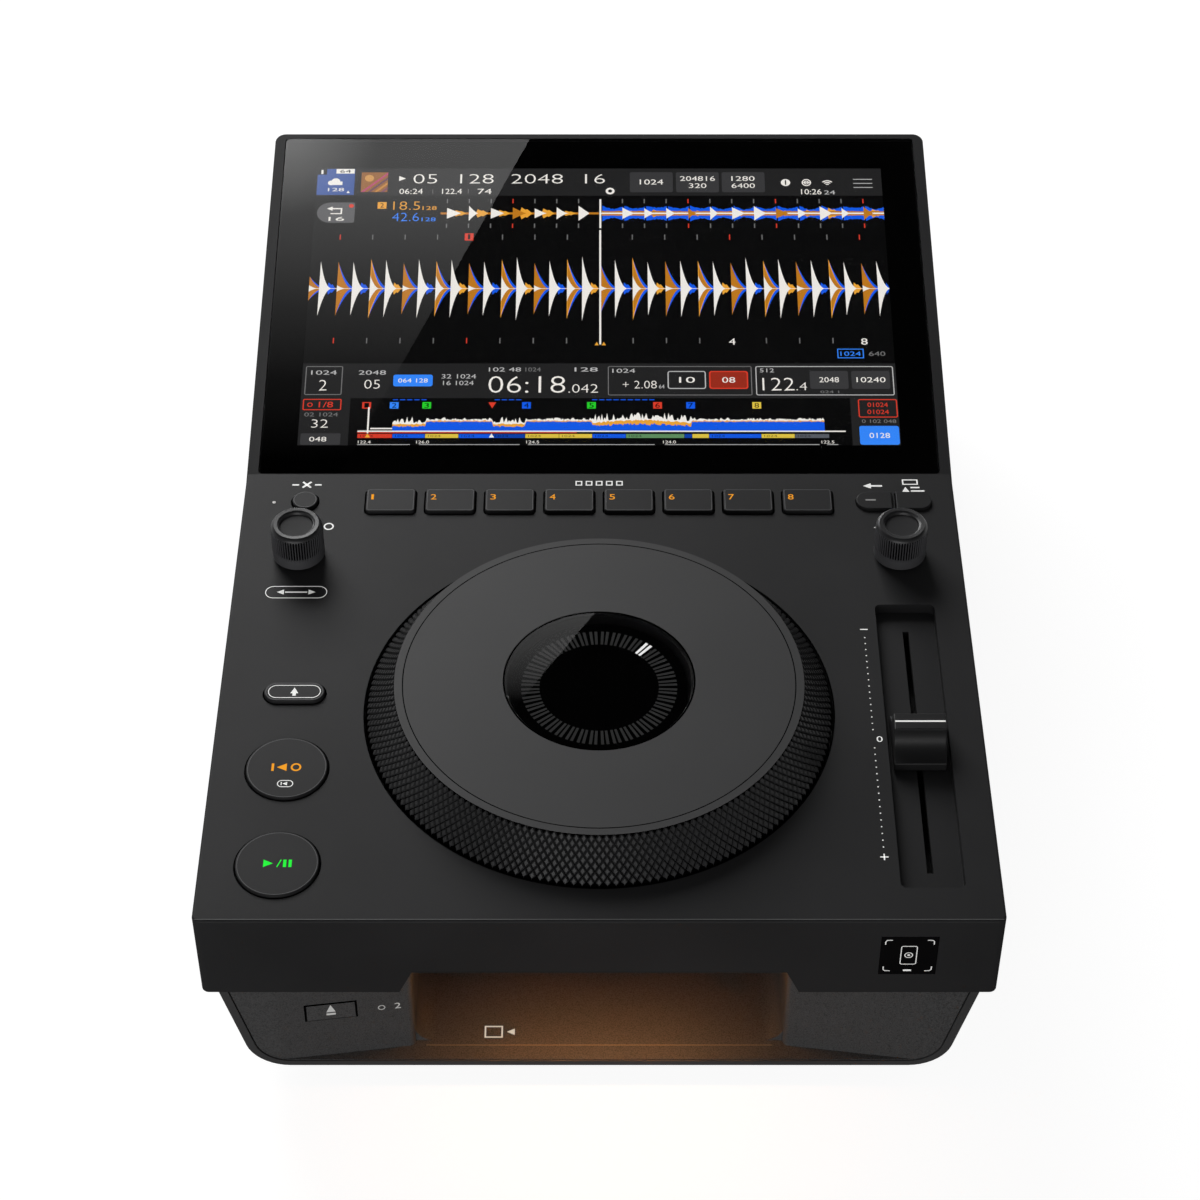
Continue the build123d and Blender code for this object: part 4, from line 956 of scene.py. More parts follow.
# ---- cover and its printed marks ----
def tempo_scale_dots(colour):
    """Two rows of small printed dots beside the fader, one on each side of the zero."""
    for name, first, step in (("upper", 80.44, 2.816), ("lower", 72.34, -2.817)):
        dot = Marks(deck_place(0.0))
        dot.disc(0.0, -FRONT_Y, 0.25, colour)
        row = grown(
            f"tempo_dots_{name}",
            made_trees["row"],
            piece_from("dot", dot.points, dot.faces),
            finish_of("ink"),
            count=16,
            first=(89.4 * MM, (FRONT_Y + first) * MM, DECK_Z * MM),
            step=(0.0, step * MM, 0.0),
        )
        paint_ink(row, [colour] * len(row.data.vertices))
        give(row, finish_of("ink"), "casing")


def draw_small_labels(marks, colour):
    """Small plain symbols where each control is labelled."""
    # crossed bars over the delete key
    for turn in (45, -45):
        marks.bar(-103.7, 199.0, 4.2, 0.75, turn, colour)
    for side in (-1, 1):
        marks.box(-103.7 + side * 4.0 - 1.2, 198.6, -103.7 + side * 4.0 + 1.2, 199.3, colour)
    # a row of squares over the hot-cue keys
    for i in range(5):
        u = (i - 2) * 3.6
        marks.frame(u - 1.2, 198.6, u + 1.2, 201.0, 0.45, colour)
    # a turned-back arrow over the back key and a flag over the tag key
    marks.arrow(95.0, 198.4, 2.8, 180, colour)
    marks.box(96.3, 198.0, 100.4, 198.8, colour)
    marks.frame(107.6, 199.0, 113.2, 201.8, 0.5, colour)
    marks.arrow(108.6, 196.6, 2.6, 90, colour)
    marks.box(110.4, 195.4, 115.2, 196.1, colour)
    marks.box(110.4, 197.2, 113.6, 197.9, colour)
    # a loop beside the left knob, a pointer beside the right one
    marks.ring(-94.6, 177.4, 1.8, 0.55, colour)
    marks.arrow(97.4, 176.8, 2.8, 180, colour)


def draw_repeat_mark(marks, colour):
    """A printed outline round a two-headed arrow, for the part that repeats."""
    marks.frame(-114.2, 141.6, -93.0, 147.5, 0.28, colour, corner=2.9)
    marks.arrow(-109.0, 144.6, 2.4, 180, colour)
    marks.box(-107.4, 144.3, -99.8, 144.85, colour)
    marks.arrow(-98.2, 144.6, 2.4, 0, colour)


def draw_gap_edges():
    """Painted shade: black bands on the edges of the openings in the deck, so that each gap reads as a clean
    dark line.
    """
    edges = Marks(lambda u, v, w: (u, v, DECK_Z + PRINT_LIFT + w))
    # the painted shade round the wheel's well is a little wider on its far side
    well = circle(0, WHEEL_Y + 0.12, WELL_R + 0.55, 180)
    edges.band(well, circle(0, WHEEL_Y, WELL_R - 0.02, 180), BLACK)
    for name in KEY_CORNERS:
        edges.band(key_outline(name, KEY_GAP + GAP_SHADE_WIDTH), key_outline(name, KEY_GAP), BLACK)
    edges.piece("deck_gap_edges", finish_of("hidden_ink"), "casing", "cover")


def key_outline(name, away):
    """Outline of a key's cap, moved outwards by so much; a negative move gives a line inside it."""
    low, high = cap_box(name)
    wide = high.x - low.x
    corner = min(KEY_CORNERS[name], (high.y - low.y) / 2)
    if corner * 2 > wide - 0.1:
        return circle((low.x + high.x) / 2, (low.y + high.y) / 2, wide / 2 + away, 72)
    return rounded(low.x - away, low.y - away, high.x + away, high.y + away, corner + away)


def cap_box(name):
    """Lowest and highest corner of the part of a key that stands above the deck, in millimetres."""
    above = [v.co / MM for v in nodes[name].data.vertices if v.co.z / MM > DECK_Z + 0.05]
    low = Vector([min(p[i] for p in above) for i in range(3)])
    high = Vector([max(p[i] for p in above) for i in range(3)])
    return low, high


def draw_deck_marks():
    colour = settings("dj_colours").print_white
    marks = Marks(deck_place(DECK_Z))
    draw_small_labels(marks, colour)
    draw_repeat_mark(marks, colour)
    # a minus, a nought and a plus along the fader's scale
    marks.box(88.1, 126.35, 90.7, 126.8, colour)
    marks.digits("0", 90.3, 92.3, 75.0, 2.5, colour)
    marks.box(88.1, 25.75, 90.7, 26.2, colour)
    marks.box(89.17, 24.65, 89.62, 27.3, colour)
    marks.piece("deck_marks", finish_of("ink"), "casing", "cover")
    draw_gap_edges()
    # a painted highlight: the slightly paler line along the front edge of the deck, where its eased edge
    # catches the light
    front_highlight = Marks(deck_place(DECK_Z))
    front_highlight.box(-124.6, 0.75, 124.6, 0.97, (0.075, 0.075, 0.075))
    front_highlight.piece("deck_front_line", finish_of("ink"), "casing", "cover")
    tempo_scale_dots(colour)


class DJ_OT_cover(bpy.types.Operator):
    """Coats the top cover and prints the marks on its deck"""

    bl_idname = "dj.cover"
    bl_label = "Cover and its marks"

    def execute(self, _context):
        dress(["top_cover"], finish_of("cover"))
        dress(["standby_light"], finish_of("lamp"))
        draw_deck_marks()
        return {"FINISHED"}


# ---- screen ----
PICTURE_HALF = 108.5
PICTURE_LOW = 14.0
PICTURE_HIGH = 149.4
WAVE_MIDDLE = 88.4
SMALL_WAVE_MIDDLE = 126.2
OVERVIEW_FOOT = 20.6
HEAD_BAR = (135.3, PICTURE_HIGH)
STATUS_BAR = (35.9, 52.2)
FIRST_BEAT = -PICTURE_HALF - 1.85
RED_BEATS = (3, 11, 15, 19)


def beat_length(look):
    """Distance between the beats of the large wave."""
    return (2 * PICTURE_HALF + 4.2) / look.beats


def spike(marks, u, middle, height, tail, colour, level, sharp=2.2):
    """One beat of a wave: an upright rise and a curved fall, the same above and below its middle line."""
    steps = 8
    upper = [(u, middle + height)]
    for i in range(1, steps + 1):
        share = i / steps
        upper.append((min(u + tail * share, PICTURE_HALF), middle + height * (1 - share) ** sharp))
    lower = [(a, 2 * middle - b) for a, b in upper[:-1]]
    marks.shape(upper + lower[::-1], colour, level)


def blob(marks, u, middle, height, long, colour, level):
    """A small swell with a jagged back."""
    upper = [(u, middle), (u + 0.15 * long, middle + height), (u + 0.45 * long, middle + 0.6 * height)]
    upper += [(u + 0.6 * long, middle + 0.7 * height), (u + long, middle)]
    lower = [(a, 2 * middle - b) for a, b in upper[1:-1]]
    marks.shape(upper + lower[::-1], colour, level)


def draw_large_wave(marks, look):
    """White beats with orange and blue ones half-way between them."""
    middle = WAVE_MIDDLE
    dice = random.Random(look.seed)
    beat = beat_length(look)
    marks.box(-PICTURE_HALF, middle - 0.3, PICTURE_HALF, middle + 0.3, look.orange, 1)
    marks.box(-PICTURE_HALF, middle - 0.1, PICTURE_HALF, middle + 0.1, look.white, 5)
    for i in range(look.beats):
        u = max(FIRST_BEAT + beat * i, -PICTURE_HALF)
        cored = i % 2 == 0 and i > 0
        tall = dice.uniform(13.6, 15.4) if cored else dice.uniform(12.6, 13.8)
        if i == 0:
            tall = 6.0
        spike(marks, u + 0.3, middle, tall * 0.9, beat * 0.6, look.blue, 2, 2.05)
        spike(marks, u, middle, tall, beat * 0.47, look.amber if cored else look.orange, 3, 2.1)
        spike(marks, u + 0.25, middle, tall * 0.8, beat * 0.42, look.orange, 4, 2.0)
        spike(marks, u, middle, 6.2 if cored else 1.6, beat * 0.3, look.white, 6, 2.0)
        u = -PICTURE_HALF + 4.3 + beat * i
        if u > PICTURE_HALF:
            continue
        spike(marks, u - 0.5, middle, dice.uniform(13.0, 16.0), beat * 0.4, look.white, 7, 2.3)
        tone = look.amber if cored else look.blue
        blob(marks, u + beat * 0.2, middle, 3.0, min(beat * 0.26, PICTURE_HALF - u - beat * 0.2), tone, 3)


def draw_ticks(marks, look):
    """Beat ticks above and below the large wave, every fourth one red."""
    beat = beat_length(look)
    for i in range(17):
        u = FIRST_BEAT + beat * (i + 1)
        red = i % 4 == 0
        if i == 8:
            continue
        colour = look.red if red else look.grey
        marks.box(u - 0.2, 112.8, u + 0.2, 115.4, colour, 1)
        if i not in (12, 16):
            marks.box(u - 0.2, 61.8, u + 0.2, 64.4, colour, 1)
    marks.digits("4", 47.9, 50.3, 61.2, 3.0, look.white, 1)
    marks.digits("8", 96.6, 99.0, 61.2, 3.0, look.white, 1)
    marks.box(-50.9, 112.4, -47.6, 116.0, look.red, 2)
    marks.digits("1", -49.7, -48.8, 113.0, 2.5, look.ground, 3)
    marks.box(0.05, 61.2, 0.75, 117.6, look.white, 9)
    marks.arrow(-0.9, 61.6, 1.6, 90, look.amber, 8)
    marks.arrow(1.7, 61.6, 1.6, 90, look.amber, 8)


def rough_band(marks, u0, u1, middle, heights, colour, level):
    """A jagged band, the same above and below its middle line, given as heights at even steps."""
    count = len(heights) - 1
    upper = [(u0 + (u1 - u0) * i / count, middle + h) for i, h in enumerate(heights)]
    lower = [(u, 2 * middle - v) for u, v in upper]
    marks.shape(upper + lower[::-1], colour, level)


def draw_small_wave(marks, look):
    """The thin wave: white and orange up to the middle, mostly blue after it, with ticks along both sides."""
    dice = random.Random(look.seed + 1)
    middle = SMALL_WAVE_MIDDLE
    beat = 8.36
    first = -58.0
    marks.box(-60.4, middle - 0.5, 0.0, middle + 0.5, look.orange, 1)
    marks.box(0.8, middle - 0.35, PICTURE_HALF, middle + 0.35, look.white, 4)
    for i in range(21):
        u = first + beat * i
        tick = look.red if i in RED_BEATS else look.grey
        if i != 7:
            for foot in (118.8, 131.4):
                marks.box(u - 0.22, foot, u + 0.22, foot + 2.2, tick, 1)
        end = min(beat, PICTURE_HALF - u)
        if i >= 7:
            steps = 12
            dip = dice.uniform(0.9, 2.0)
            sag = [dip * math.sin(math.pi * k / steps * 0.9) for k in range(steps + 1)]
            fall = [3.6 - part + 0.5 * dice.random() for part in sag]
            core = [1.3 - 0.3 * dice.random() for _ in fall]
            rough_band(marks, u + 0.7, u + end + 0.2, middle, fall, look.blue, 1)
            rough_band(marks, u + 0.5, u + end, middle, core, look.orange, 3)
        burst = look.orange if i in RED_BEATS else look.white
        if i != 7:
            spike(marks, u, middle, dice.uniform(2.4, 3.9), min(dice.uniform(3.0, 5.4), end), burst, 5,
                  dice.uniform(0.9, 1.6))
            if dice.random() < 0.75:
                tone = look.amber if dice.random() < 0.6 else look.white
                blob(marks, u + 2.6, middle, dice.uniform(1.2, 3.1), min(4.8, max(end - 2.6, 0.5)), tone, 2)
    marks.box(0.1, 118.6, 0.8, 133.4, look.white, 9)


def draw_top_row(marks, look):
    """Source tile, small picture, title figures and the buttons along the top."""
    marks.box(-PICTURE_HALF, HEAD_BAR[0], PICTURE_HALF, HEAD_BAR[1], look.bar, 1)
    marks.box(-108.3, 135.7, -94.0, 149.2, (0.045, 0.1, 0.33), 2)
    marks.box(-108.3, 146.2, -104.8, 149.2, look.ground, 3)
    marks.digits("1", -107.0, -106.2, 146.5, 2.2, look.white, 4)
    marks.box(-101.2, 146.8, -94.2, 149.2, look.white, 3)
    marks.digits("64", -99.8, -95.6, 147.2, 1.5, look.ground, 4)
    marks.disc(-101.2, 142.6, 1.7, look.white, 3)
    marks.disc(-103.0, 141.9, 1.2, look.white, 4)
    marks.box(-103.6, 140.8, -98.6, 142.6, look.white, 5)
    marks.digits("128", -104.0, -97.8, 137.6, 1.7, look.white, 3)
    marks.arrow(-96.2, 137.3, 1.3, 90, look.white, 3)
    draw_tiny_cover(marks)
    marks.arrow(-75.6, 144.2, 2.6, 0, look.white, 2)
    marks.digits("05  128  2048  16", -71.4, 2.2, 141.6, 4.9, look.white, 2)
    marks.digits("06:24", -76.6, -67.6, 136.2, 2.7, look.white, 2)
    marks.digits("122.4", -60.2, -52.6, 136.2, 2.7, look.white, 2)
    marks.digits("74", -46.6, -41.2, 136.2, 2.7, look.white, 2)
    for u in (-63.9, -50.3):
        marks.box(u, 136.4, u + 0.25, 138.6, look.grey, 2)
    marks.disc(4.2, 137.7, 1.7, look.white, 2)
    marks.disc(4.2, 137.7, 0.8, look.bar, 3)
    for left in (11.8, 29.5, 47.1):
        marks.box(left, 137.1, left + 16.5, 147.5, look.button, 2, corner=0.8)
    marks.digits("1024", 15.6, 24.6, 141.1, 2.6, look.white, 3)
    for middle, upper, lower in ((37.8, "204816", "320"), (55.3, "1280", "6400")):
        for text, foot in ((upper, 143.0), (lower, 139.3)):
            half = 1.12 * len(text)
            marks.digits(text, middle - half, middle + half, foot, 2.4, look.white, 3)
    marks.disc(71.6, 142.1, 1.8, look.white, 2)
    marks.box(71.35, 140.9, 71.85, 143.3, look.bar, 3)
    marks.ring(79.6, 142.1, 1.8, 0.45, look.white, 2)
    marks.ring(79.6, 142.1, 0.95, 0.35, look.white, 3)
    marks.box(77.9, 141.9, 81.3, 142.3, look.white, 4)
    for k, radius in enumerate((2.8, 1.9, 1.0)):
        draw_arc(marks, 87.6, 140.5, radius, 0.5, look.white, 2 + k)
    marks.digits("10:26", 77.4, 85.2, 136.0, 2.7, look.white, 2)
    marks.digits("24", 86.2, 90.4, 136.0, 2.0, look.pale, 2)
    for k in range(3):
        marks.box(97.6, 139.4 + k * 2.1, 104.9, 139.75 + k * 2.1, look.pale, 2)


def draw_arc(marks, u, v, radius, line, colour, level):
    """A quarter ring that opens upwards."""
    outer = []
    inner = []
    for i in range(7):
        angle = math.radians(45 + 15 * i)
        outer.append((u + radius * math.cos(angle), v + radius * math.sin(angle)))
        inner.append((u + (radius - line) * math.cos(angle), v + (radius - line) * math.sin(angle)))
    marks.shape(outer + inner[::-1], colour, level)


def draw_tiny_cover(marks):
    """A small square picture of slanted stripes and a disc."""
    left, low, side = -91.4, 137.2, 10.2
    tones = [(0.3, 0.12, 0.03), (0.45, 0.05, 0.16), (0.12, 0.05, 0.09), (0.55, 0.24, 0.04), (0.2, 0.06, 0.12)]
    marks.box(left, low, left + side, low + side, tones[0], 2)
    for k, tone in enumerate(tones[1:]):
        start = k * side / 4
        end = start + side / 9
        outline = [(left + start, low), (left + end, low), (left + side, low + side - end)]
        outline += [(left + side, low + side - start)]
        marks.shape(outline, tone, 3)
    marks.disc(left + side * 0.3, low + side * 0.7, side * 0.17, (0.6, 0.3, 0.08), 4)


def draw_second_row(marks, look):
    """The return button and two counters beside the thin wave, and the view buttons below the large one."""
    tile = shade(look.button, 2.6)
    marks.box(-102.4, 121.4, -93.2, 131.8, tile, 2, corner=0.8)
    marks.disc(-102.4, 126.6, 5.2, tile, 1)
    marks.arrow(-102.8, 128.6, 2.2, 180, look.white, 3)
    marks.box(-102.4, 128.3, -98.4, 128.9, look.white, 3)
    marks.box(-98.6, 125.8, -98.0, 128.9, look.white, 3)
    marks.box(-102.4, 125.8, -98.4, 126.3, look.white, 3)
    marks.digits("16", -103.0, -97.0, 122.4, 2.0, look.white, 3)
    marks.disc(-94.6, 130.0, 0.95, look.red, 4)
    marks.box(-84.6, 128.6, -81.2, 132.0, look.amber, 1)
    marks.digits("2", -83.6, -82.2, 129.2, 2.2, look.ground, 2)
    marks.digits("18.5", -78.6, -68.4, 128.0, 4.3, look.amber, 1)
    marks.digits("128", -67.4, -62.0, 128.0, 1.9, look.amber, 1)
    marks.digits("42.6", -78.8, -68.6, 122.2, 4.3, look.sky_blue, 1)
    marks.digits("128", -67.6, -62.2, 122.2, 1.9, look.sky_blue, 1)
    marks.frame(87.6, 54.7, 97.3, 59.2, 0.35, look.sky_blue, 1)
    marks.digits("1024", 88.7, 96.2, 55.8, 2.1, look.sky_blue, 2)
    marks.digits("640", 99.2, 105.2, 55.8, 2.1, look.grey, 1)


def draw_status_bar(marks, look):
    """The grey bar with the large counter."""
    marks.box(-PICTURE_HALF - 0.6, STATUS_BAR[0], PICTURE_HALF + 0.8, STATUS_BAR[1], look.bar, 1)
    marks.frame(-107.4, 37.4, -93.8, 50.9, 0.35, look.grey, 2, corner=0.7)
    marks.digits("1024", -105.4, -96.0, 46.9, 2.0, look.pale, 2)
    marks.digits("2", -102.2, -99.4, 39.4, 5.0, look.white, 2)
    marks.digits("2048", -88.0, -78.0, 46.9, 2.0, look.pale, 2)
    marks.digits("05", -85.7, -80.0, 40.3, 4.2, look.white, 2)
    marks.box(-75.2, 41.4, -60.8, 46.9, look.sky_blue, 2, corner=0.9)
    marks.digits("064 128", -73.4, -62.6, 43.2, 1.9, look.white, 3)
    marks.digits("32 1024", -57.6, -45.0, 45.1, 2.0, look.pale, 2)
    marks.digits("16 1024", -57.0, -45.8, 42.0, 2.0, look.pale, 2)
    marks.digits("102 48", -40.4, -28.6, 48.4, 1.9, look.pale, 2)
    marks.digits("1024", -27.0, -21.4, 48.4, 1.9, look.grey, 2)
    marks.digits("128", -9.0, -0.5, 48.4, 1.9, look.pale, 2)
    marks.digits("06:18", -40.4, -12.4, 38.3, 7.9, look.white, 2)
    marks.digits(".042", -11.2, -0.4, 38.4, 4.0, look.white, 2)
    marks.frame(3.2, 37.2, 55.8, 50.9, 0.3, look.grey, 2, corner=0.7)
    marks.digits("1024", 4.8, 13.2, 47.8, 1.9, look.pale, 3)
    marks.digits("+ 2.08", 8.6, 21.0, 40.4, 3.6, look.white, 3)
    marks.digits("64", 21.8, 23.8, 40.4, 1.8, look.pale, 3)
    marks.frame(25.0, 40.2, 39.0, 48.6, 0.4, look.pale, 3, corner=1.0)
    marks.digits("10", 29.2, 35.0, 43.1, 2.7, look.white, 3)
    marks.box(40.2, 40.2, 54.4, 48.6, look.red, 3, corner=1.0)
    marks.box(40.7, 40.7, 53.9, 48.1, (0.3, 0.025, 0.012), 4, corner=0.8)
    marks.digits("08", 44.9, 49.7, 43.1, 2.6, look.white, 5)
    marks.frame(57.2, 37.2, 107.6, 50.9, 0.35, look.pale, 2, corner=0.8)
    marks.digits("512", 58.8, 64.0, 48.0, 1.8, look.pale, 3)
    marks.digits("122", 59.6, 71.2, 39.4, 6.0, look.white, 3)
    marks.digits(".4", 71.9, 75.8, 39.5, 3.8, look.white, 3)
    for left in (77.0, 92.2):
        marks.box(left, 40.2, left + 14.0, 48.6, look.button, 3, corner=0.8)
    marks.digits("2048", 80.4, 87.6, 43.3, 2.4, look.white, 4)
    marks.digits("10240", 94.0, 104.6, 43.3, 2.4, look.white, 4)
    marks.digits("024 1", 80.6, 87.4, 38.2, 1.2, look.grey, 3)


def draw_bottom_row(marks, look):
    """Loop figures on the left, the whole-piece wave in the middle, two boxes on the right."""
    marks.box(-PICTURE_HALF - 0.8, 13.4, -90.4, STATUS_BAR[0], look.bar, 1)
    marks.box(91.2, 13.4, PICTURE_HALF + 1.0, STATUS_BAR[0], look.bar, 1)
    marks.frame(-107.6, 30.3, -93.6, 35.5, 0.4, look.red, 2, corner=0.6)
    marks.ring(-105.0, 32.8, 1.0, 0.35, look.red, 3)
    marks.digits("1/8", -101.8, -96.6, 31.6, 2.6, look.red, 3)
    marks.digits("02 1024", -106.8, -94.6, 27.4, 1.8, look.grey, 2)
    marks.digits("32", -104.0, -98.0, 22.2, 3.8, look.white, 2)
    marks.box(-107.6, 14.4, -93.2, 19.6, look.button, 2, corner=0.5)
    marks.digits("048", -104.4, -98.2, 15.9, 2.1, look.white, 3)
    draw_overview(marks, look)
    draw_stretches(marks, look)
    draw_tags(marks, look)
    marks.frame(94.0, 26.9, 108.2, 35.4, 0.4, look.red, 2, corner=0.8)
    marks.digits("01024", 97.4, 104.8, 31.8, 2.0, look.red, 3)
    marks.digits("01024", 97.2, 105.0, 28.5, 2.0, look.red, 3)
    marks.digits("0 102 048", 95.0, 107.4, 24.4, 1.6, look.grey, 2)
    marks.box(93.9, 14.4, 108.2, 23.0, look.sky_blue, 2, corner=0.9)
    marks.digits("0128", 97.4, 104.8, 17.5, 2.3, look.white, 3)


def swell_at(u):
    """Height of the overview wave at a place along it, and whether that stretch is a spiky one."""
    if u < -62.7 or -38.4 < u < -26.6:
        return 3.4, True
    if -2.4 < u < 33.6:
        return 3.9 + 1.3 * math.sin((u + 2.4) / 36.0 * math.pi), True
    return 4.9, False


def draw_overview(marks, look):
    """The wave of the whole piece: blue below, an orange line over it and white tips."""
    dice = random.Random(look.seed + 2)
    foot = OVERVIEW_FOOT
    left, right = -74.7, 81.4
    count = 330
    white = []
    amber = []
    blue = []
    for i in range(count + 1):
        u = left + (right - left) * i / count
        swell, spiky = swell_at(u)
        low = swell * (dice.uniform(0.5, 0.75) if spiky else dice.uniform(0.84, 0.92))
        blue.append((u, foot + low))
        amber.append((u, foot + max(low + 0.35, swell * dice.uniform(0.9, 1.05))))
        tip = dice.random() ** 2
        white.append((u, foot + swell + (0.4 + 3.6 * tip if spiky else 0.3 + 1.1 * tip)))
    for outline, colour, level in ((white, look.white, 1), (amber, look.amber, 2), (blue, look.blue, 3)):
        marks.shape(outline + [(right, foot), (left, foot)], colour, level)
    marks.box(-87.2, foot - 0.35, 88.9, foot + 0.2, look.white, 4)
    marks.box(-87.2, foot - 0.9, -8.0, foot - 0.55, look.red, 4)
    marks.box(-86.8, foot, left, foot + 0.5, look.grey, 3)
    marks.box(-82.6, foot + 0.9, left, foot + 1.5, look.white, 3)
    marks.box(-83.8, foot - 1.0, -83.2, foot + 11.0, look.white, 6)
    marks.arrow(-83.5, foot - 2.0, 1.9, 90, look.amber, 7)
    marks.arrow(-38.8, foot - 2.0, 1.9, 90, look.white, 7)


def draw_stretches(marks, look):
    """The coloured bar of stretches below the overview, and the beat figures under it."""
    violet = shade(look.blue, 0.5)
    slate = (0.1, 0.11, 0.13)
    leaf = (0.12, 0.28, 0.12)
    ends = (-87.1, -74.5, -62.7, -50.6, -38.4, -26.6, -14.4, -2.4, 9.7, 30.8, 33.6, 39.7, 58.5, 70.6, 83.0)
    tones = (look.red, look.blue, look.yellow, look.blue, violet, look.yellow, look.yellow, look.blue, leaf,
             violet, look.yellow, look.blue, look.yellow, slate)
    for left, right, tone in zip(ends, ends[1:], tones):
        marks.box(left, 17.5, right - 0.15, 19.3, shade(tone, 0.95), 1)
        if right - left > 8:
            marks.digits("1024", left + 1.0, left + 5.6, 17.9, 1.0, shade(tone, 0.2), 2)
    speeds = ((-86.8, "122.4"), (-65.8, "126.0"), (-26.2, "124.5"), (23.0, "124.0"), (80.0, "122.5"))
    for left, text in speeds:
        marks.digits(text, left, left + 4.6, 15.0, 1.3, look.white, 1)
    for left, right in ((-87.0, -68.0), (-64.8, -28.6), (-25.6, 20.0), (23.6, 79.2), (82.0, 86.0)):
        marks.box(left, 14.35, right, 14.6, look.pale, 1)


def draw_tags(marks, look):
    """Small numbered flags over the overview, one of them a triangle."""
    flags = ((-84.4, look.red), (-74.4, look.sky_blue), (-62.6, look.green), (-26.4, look.blue),
             (-2.8, look.green), (21.2, look.red), (33.2, look.blue), (57.2, look.yellow))
    for number, (u, tone) in enumerate(flags, start=1):
        marks.box(u - 1.6, 31.0, u + 1.6, 34.0, tone, 5)
        marks.digits(str(number), u - 0.85, u + 0.85, 31.4, 2.2, (0.0, 0.0, 0.0), 6)
    marks.arrow(-38.8, 32.5, 2.8, -90, look.red, 5)
    for start, end in ((-75.0, -62.0), (-38.0, -26.0), (-2.6, 22.4)):
        for k in range(int((end - start) / 2.6)):
            marks.box(start + 2.6 * k, 34.9, start + 2.6 * k + 1.9, 35.3, look.blue, 5)


def draw_border():
    """Black print on the back of the glass, all round the picture."""
    border = Marks(screen_place(GLASS_THICK + 0.03))
    glass = rounded(-GLASS_HALF, GLASS_FROM, GLASS_HALF, GLASS_TO, 0.0)
    picture = rounded(-PICTURE_HALF, PICTURE_LOW, PICTURE_HALF, PICTURE_HIGH, 0.0)
    border.band(glass, picture, (0.0012, 0.0012, 0.0014))
    return border


class DJ_OT_screen(bpy.types.Operator):
    """Makes the glass, the black border behind it and the lit picture"""

    bl_idname = "dj.screen"
    bl_label = "Screen and its picture"

    def execute(self, _context):
        look = settings("dj_picture")
        dress(["screen_glass"], clear_glass("screen_glass_clear", (0.97, 0.97, 0.97)))
        dress(["display_panel"], finish_of("screen_black"))
        draw_border().piece("screen_border", finish_of("hidden_ink"), "casing", "screen_glass")
        picture = Marks(screen_place(GLASS_THICK + 0.19))
        picture.box(-PICTURE_HALF - 1, PICTURE_LOW - 1, PICTURE_HALF + 1, PICTURE_HIGH + 1, look.ground)
        draw_top_row(picture, look)
        draw_second_row(picture, look)
        draw_small_wave(picture, look)
        draw_large_wave(picture, look)
        draw_ticks(picture, look)
        draw_status_bar(picture, look)
        draw_bottom_row(picture, look)
        picture.piece("screen_picture", lit_ink("screen_light", look.brightness), "casing", "display")
        return {"FINISHED"}


# ---- jog wheel ----
RIM_R = 76.2
SHOULDER_R = 67.0
PLATE_R = 64.0
CONE_FOOT_Z = DECK_Z + 0.4


def knurl_stud(sizes):
    """A low four-sided stud with a flat tip, along X down the slope."""
    long = sizes.stud_long / MM / 2
    wide = sizes.stud_wide / MM / 2
    high = sizes.stud_high / MM
    foot = -0.12
    tip = 0.55
    points = [(long, 0, foot), (0, wide, foot), (-long, 0, foot), (0, -wide, foot)]
    points += [(x * tip, y * tip, high) for x, y, _z in points]
    faces = [[3, 2, 1, 0], [4, 5, 6, 7]]
    faces += [[i, (i + 1) % 4, 4 + (i + 1) % 4, 4 + i] for i in range(4)]
    return piece_from("stud", points, faces)


def make_rim(sizes):
    """The rim with its sunk slope, and the studs that fill the slope."""
    sunk = sizes.stud_high / MM * 0.95
    top = WHEEL_TOP
    slope = math.atan2(top - 0.4 - CONE_FOOT_Z, RIM_R - SHOULDER_R)
    out = sunk * math.sin(slope)
    down = sunk * math.cos(slope)
    low = box_mm("jog_rim")[0].z
    outline = [
        (PLATE_R, top),
        (PLATE_R + 0.05, top - 2.0),
        (PLATE_R - 3.9, top - 2.1),
        (PLATE_R - 3.9, top - 4.0),
        (SHOULDER_R - 2.0, top - 4.0),
        (RIM_R - 5.4, DECK_Z - 0.4),
        (RIM_R - 3.0, DECK_Z - 0.4),
        (RIM_R - 3.0, low),
        (RIM_R, low),
        (RIM_R, CONE_FOOT_Z - 0.4),
        (RIM_R - 0.25, CONE_FOOT_Z),
        (RIM_R - out - 0.1, CONE_FOOT_Z - 0.1),
        (SHOULDER_R - out - 0.15, top - 0.5 - down),
        (SHOULDER_R - 0.15, top - 0.3),
        (SHOULDER_R - 0.2, top),
    ]
    body = lathe("jog_rim_body", outline, (0, WHEEL_Y), 240, soft_angle=15)
    # the body is black below its top ring: painted shade between the studs and at the rim's foot, where its
    # chamfer would catch light
    give(body, finish_of("hidden_ink"), "jog_wheel", ["jog_rim"])
    give_part(body, finish_of("plate"), lambda p: p.z > top - 0.05)
    knurl = grown(
        "jog_rim_knurl",
        made_trees["knurl"],
        knurl_stud(sizes),
        finish_of("rim"),
        around=sizes.studs_around,
        rows=sizes.stud_rows,
        top_radius=(SHOULDER_R - out) * MM,
        foot_radius=(RIM_R - out) * MM,
        top_height=(top - 0.4 - down) * MM,
        foot_height=(CONE_FOOT_Z - down) * MM,
        centre=(0.0, WHEEL_Y * MM, 0.0),
    )
    give(knurl, finish_of("rim"), "jog_wheel")


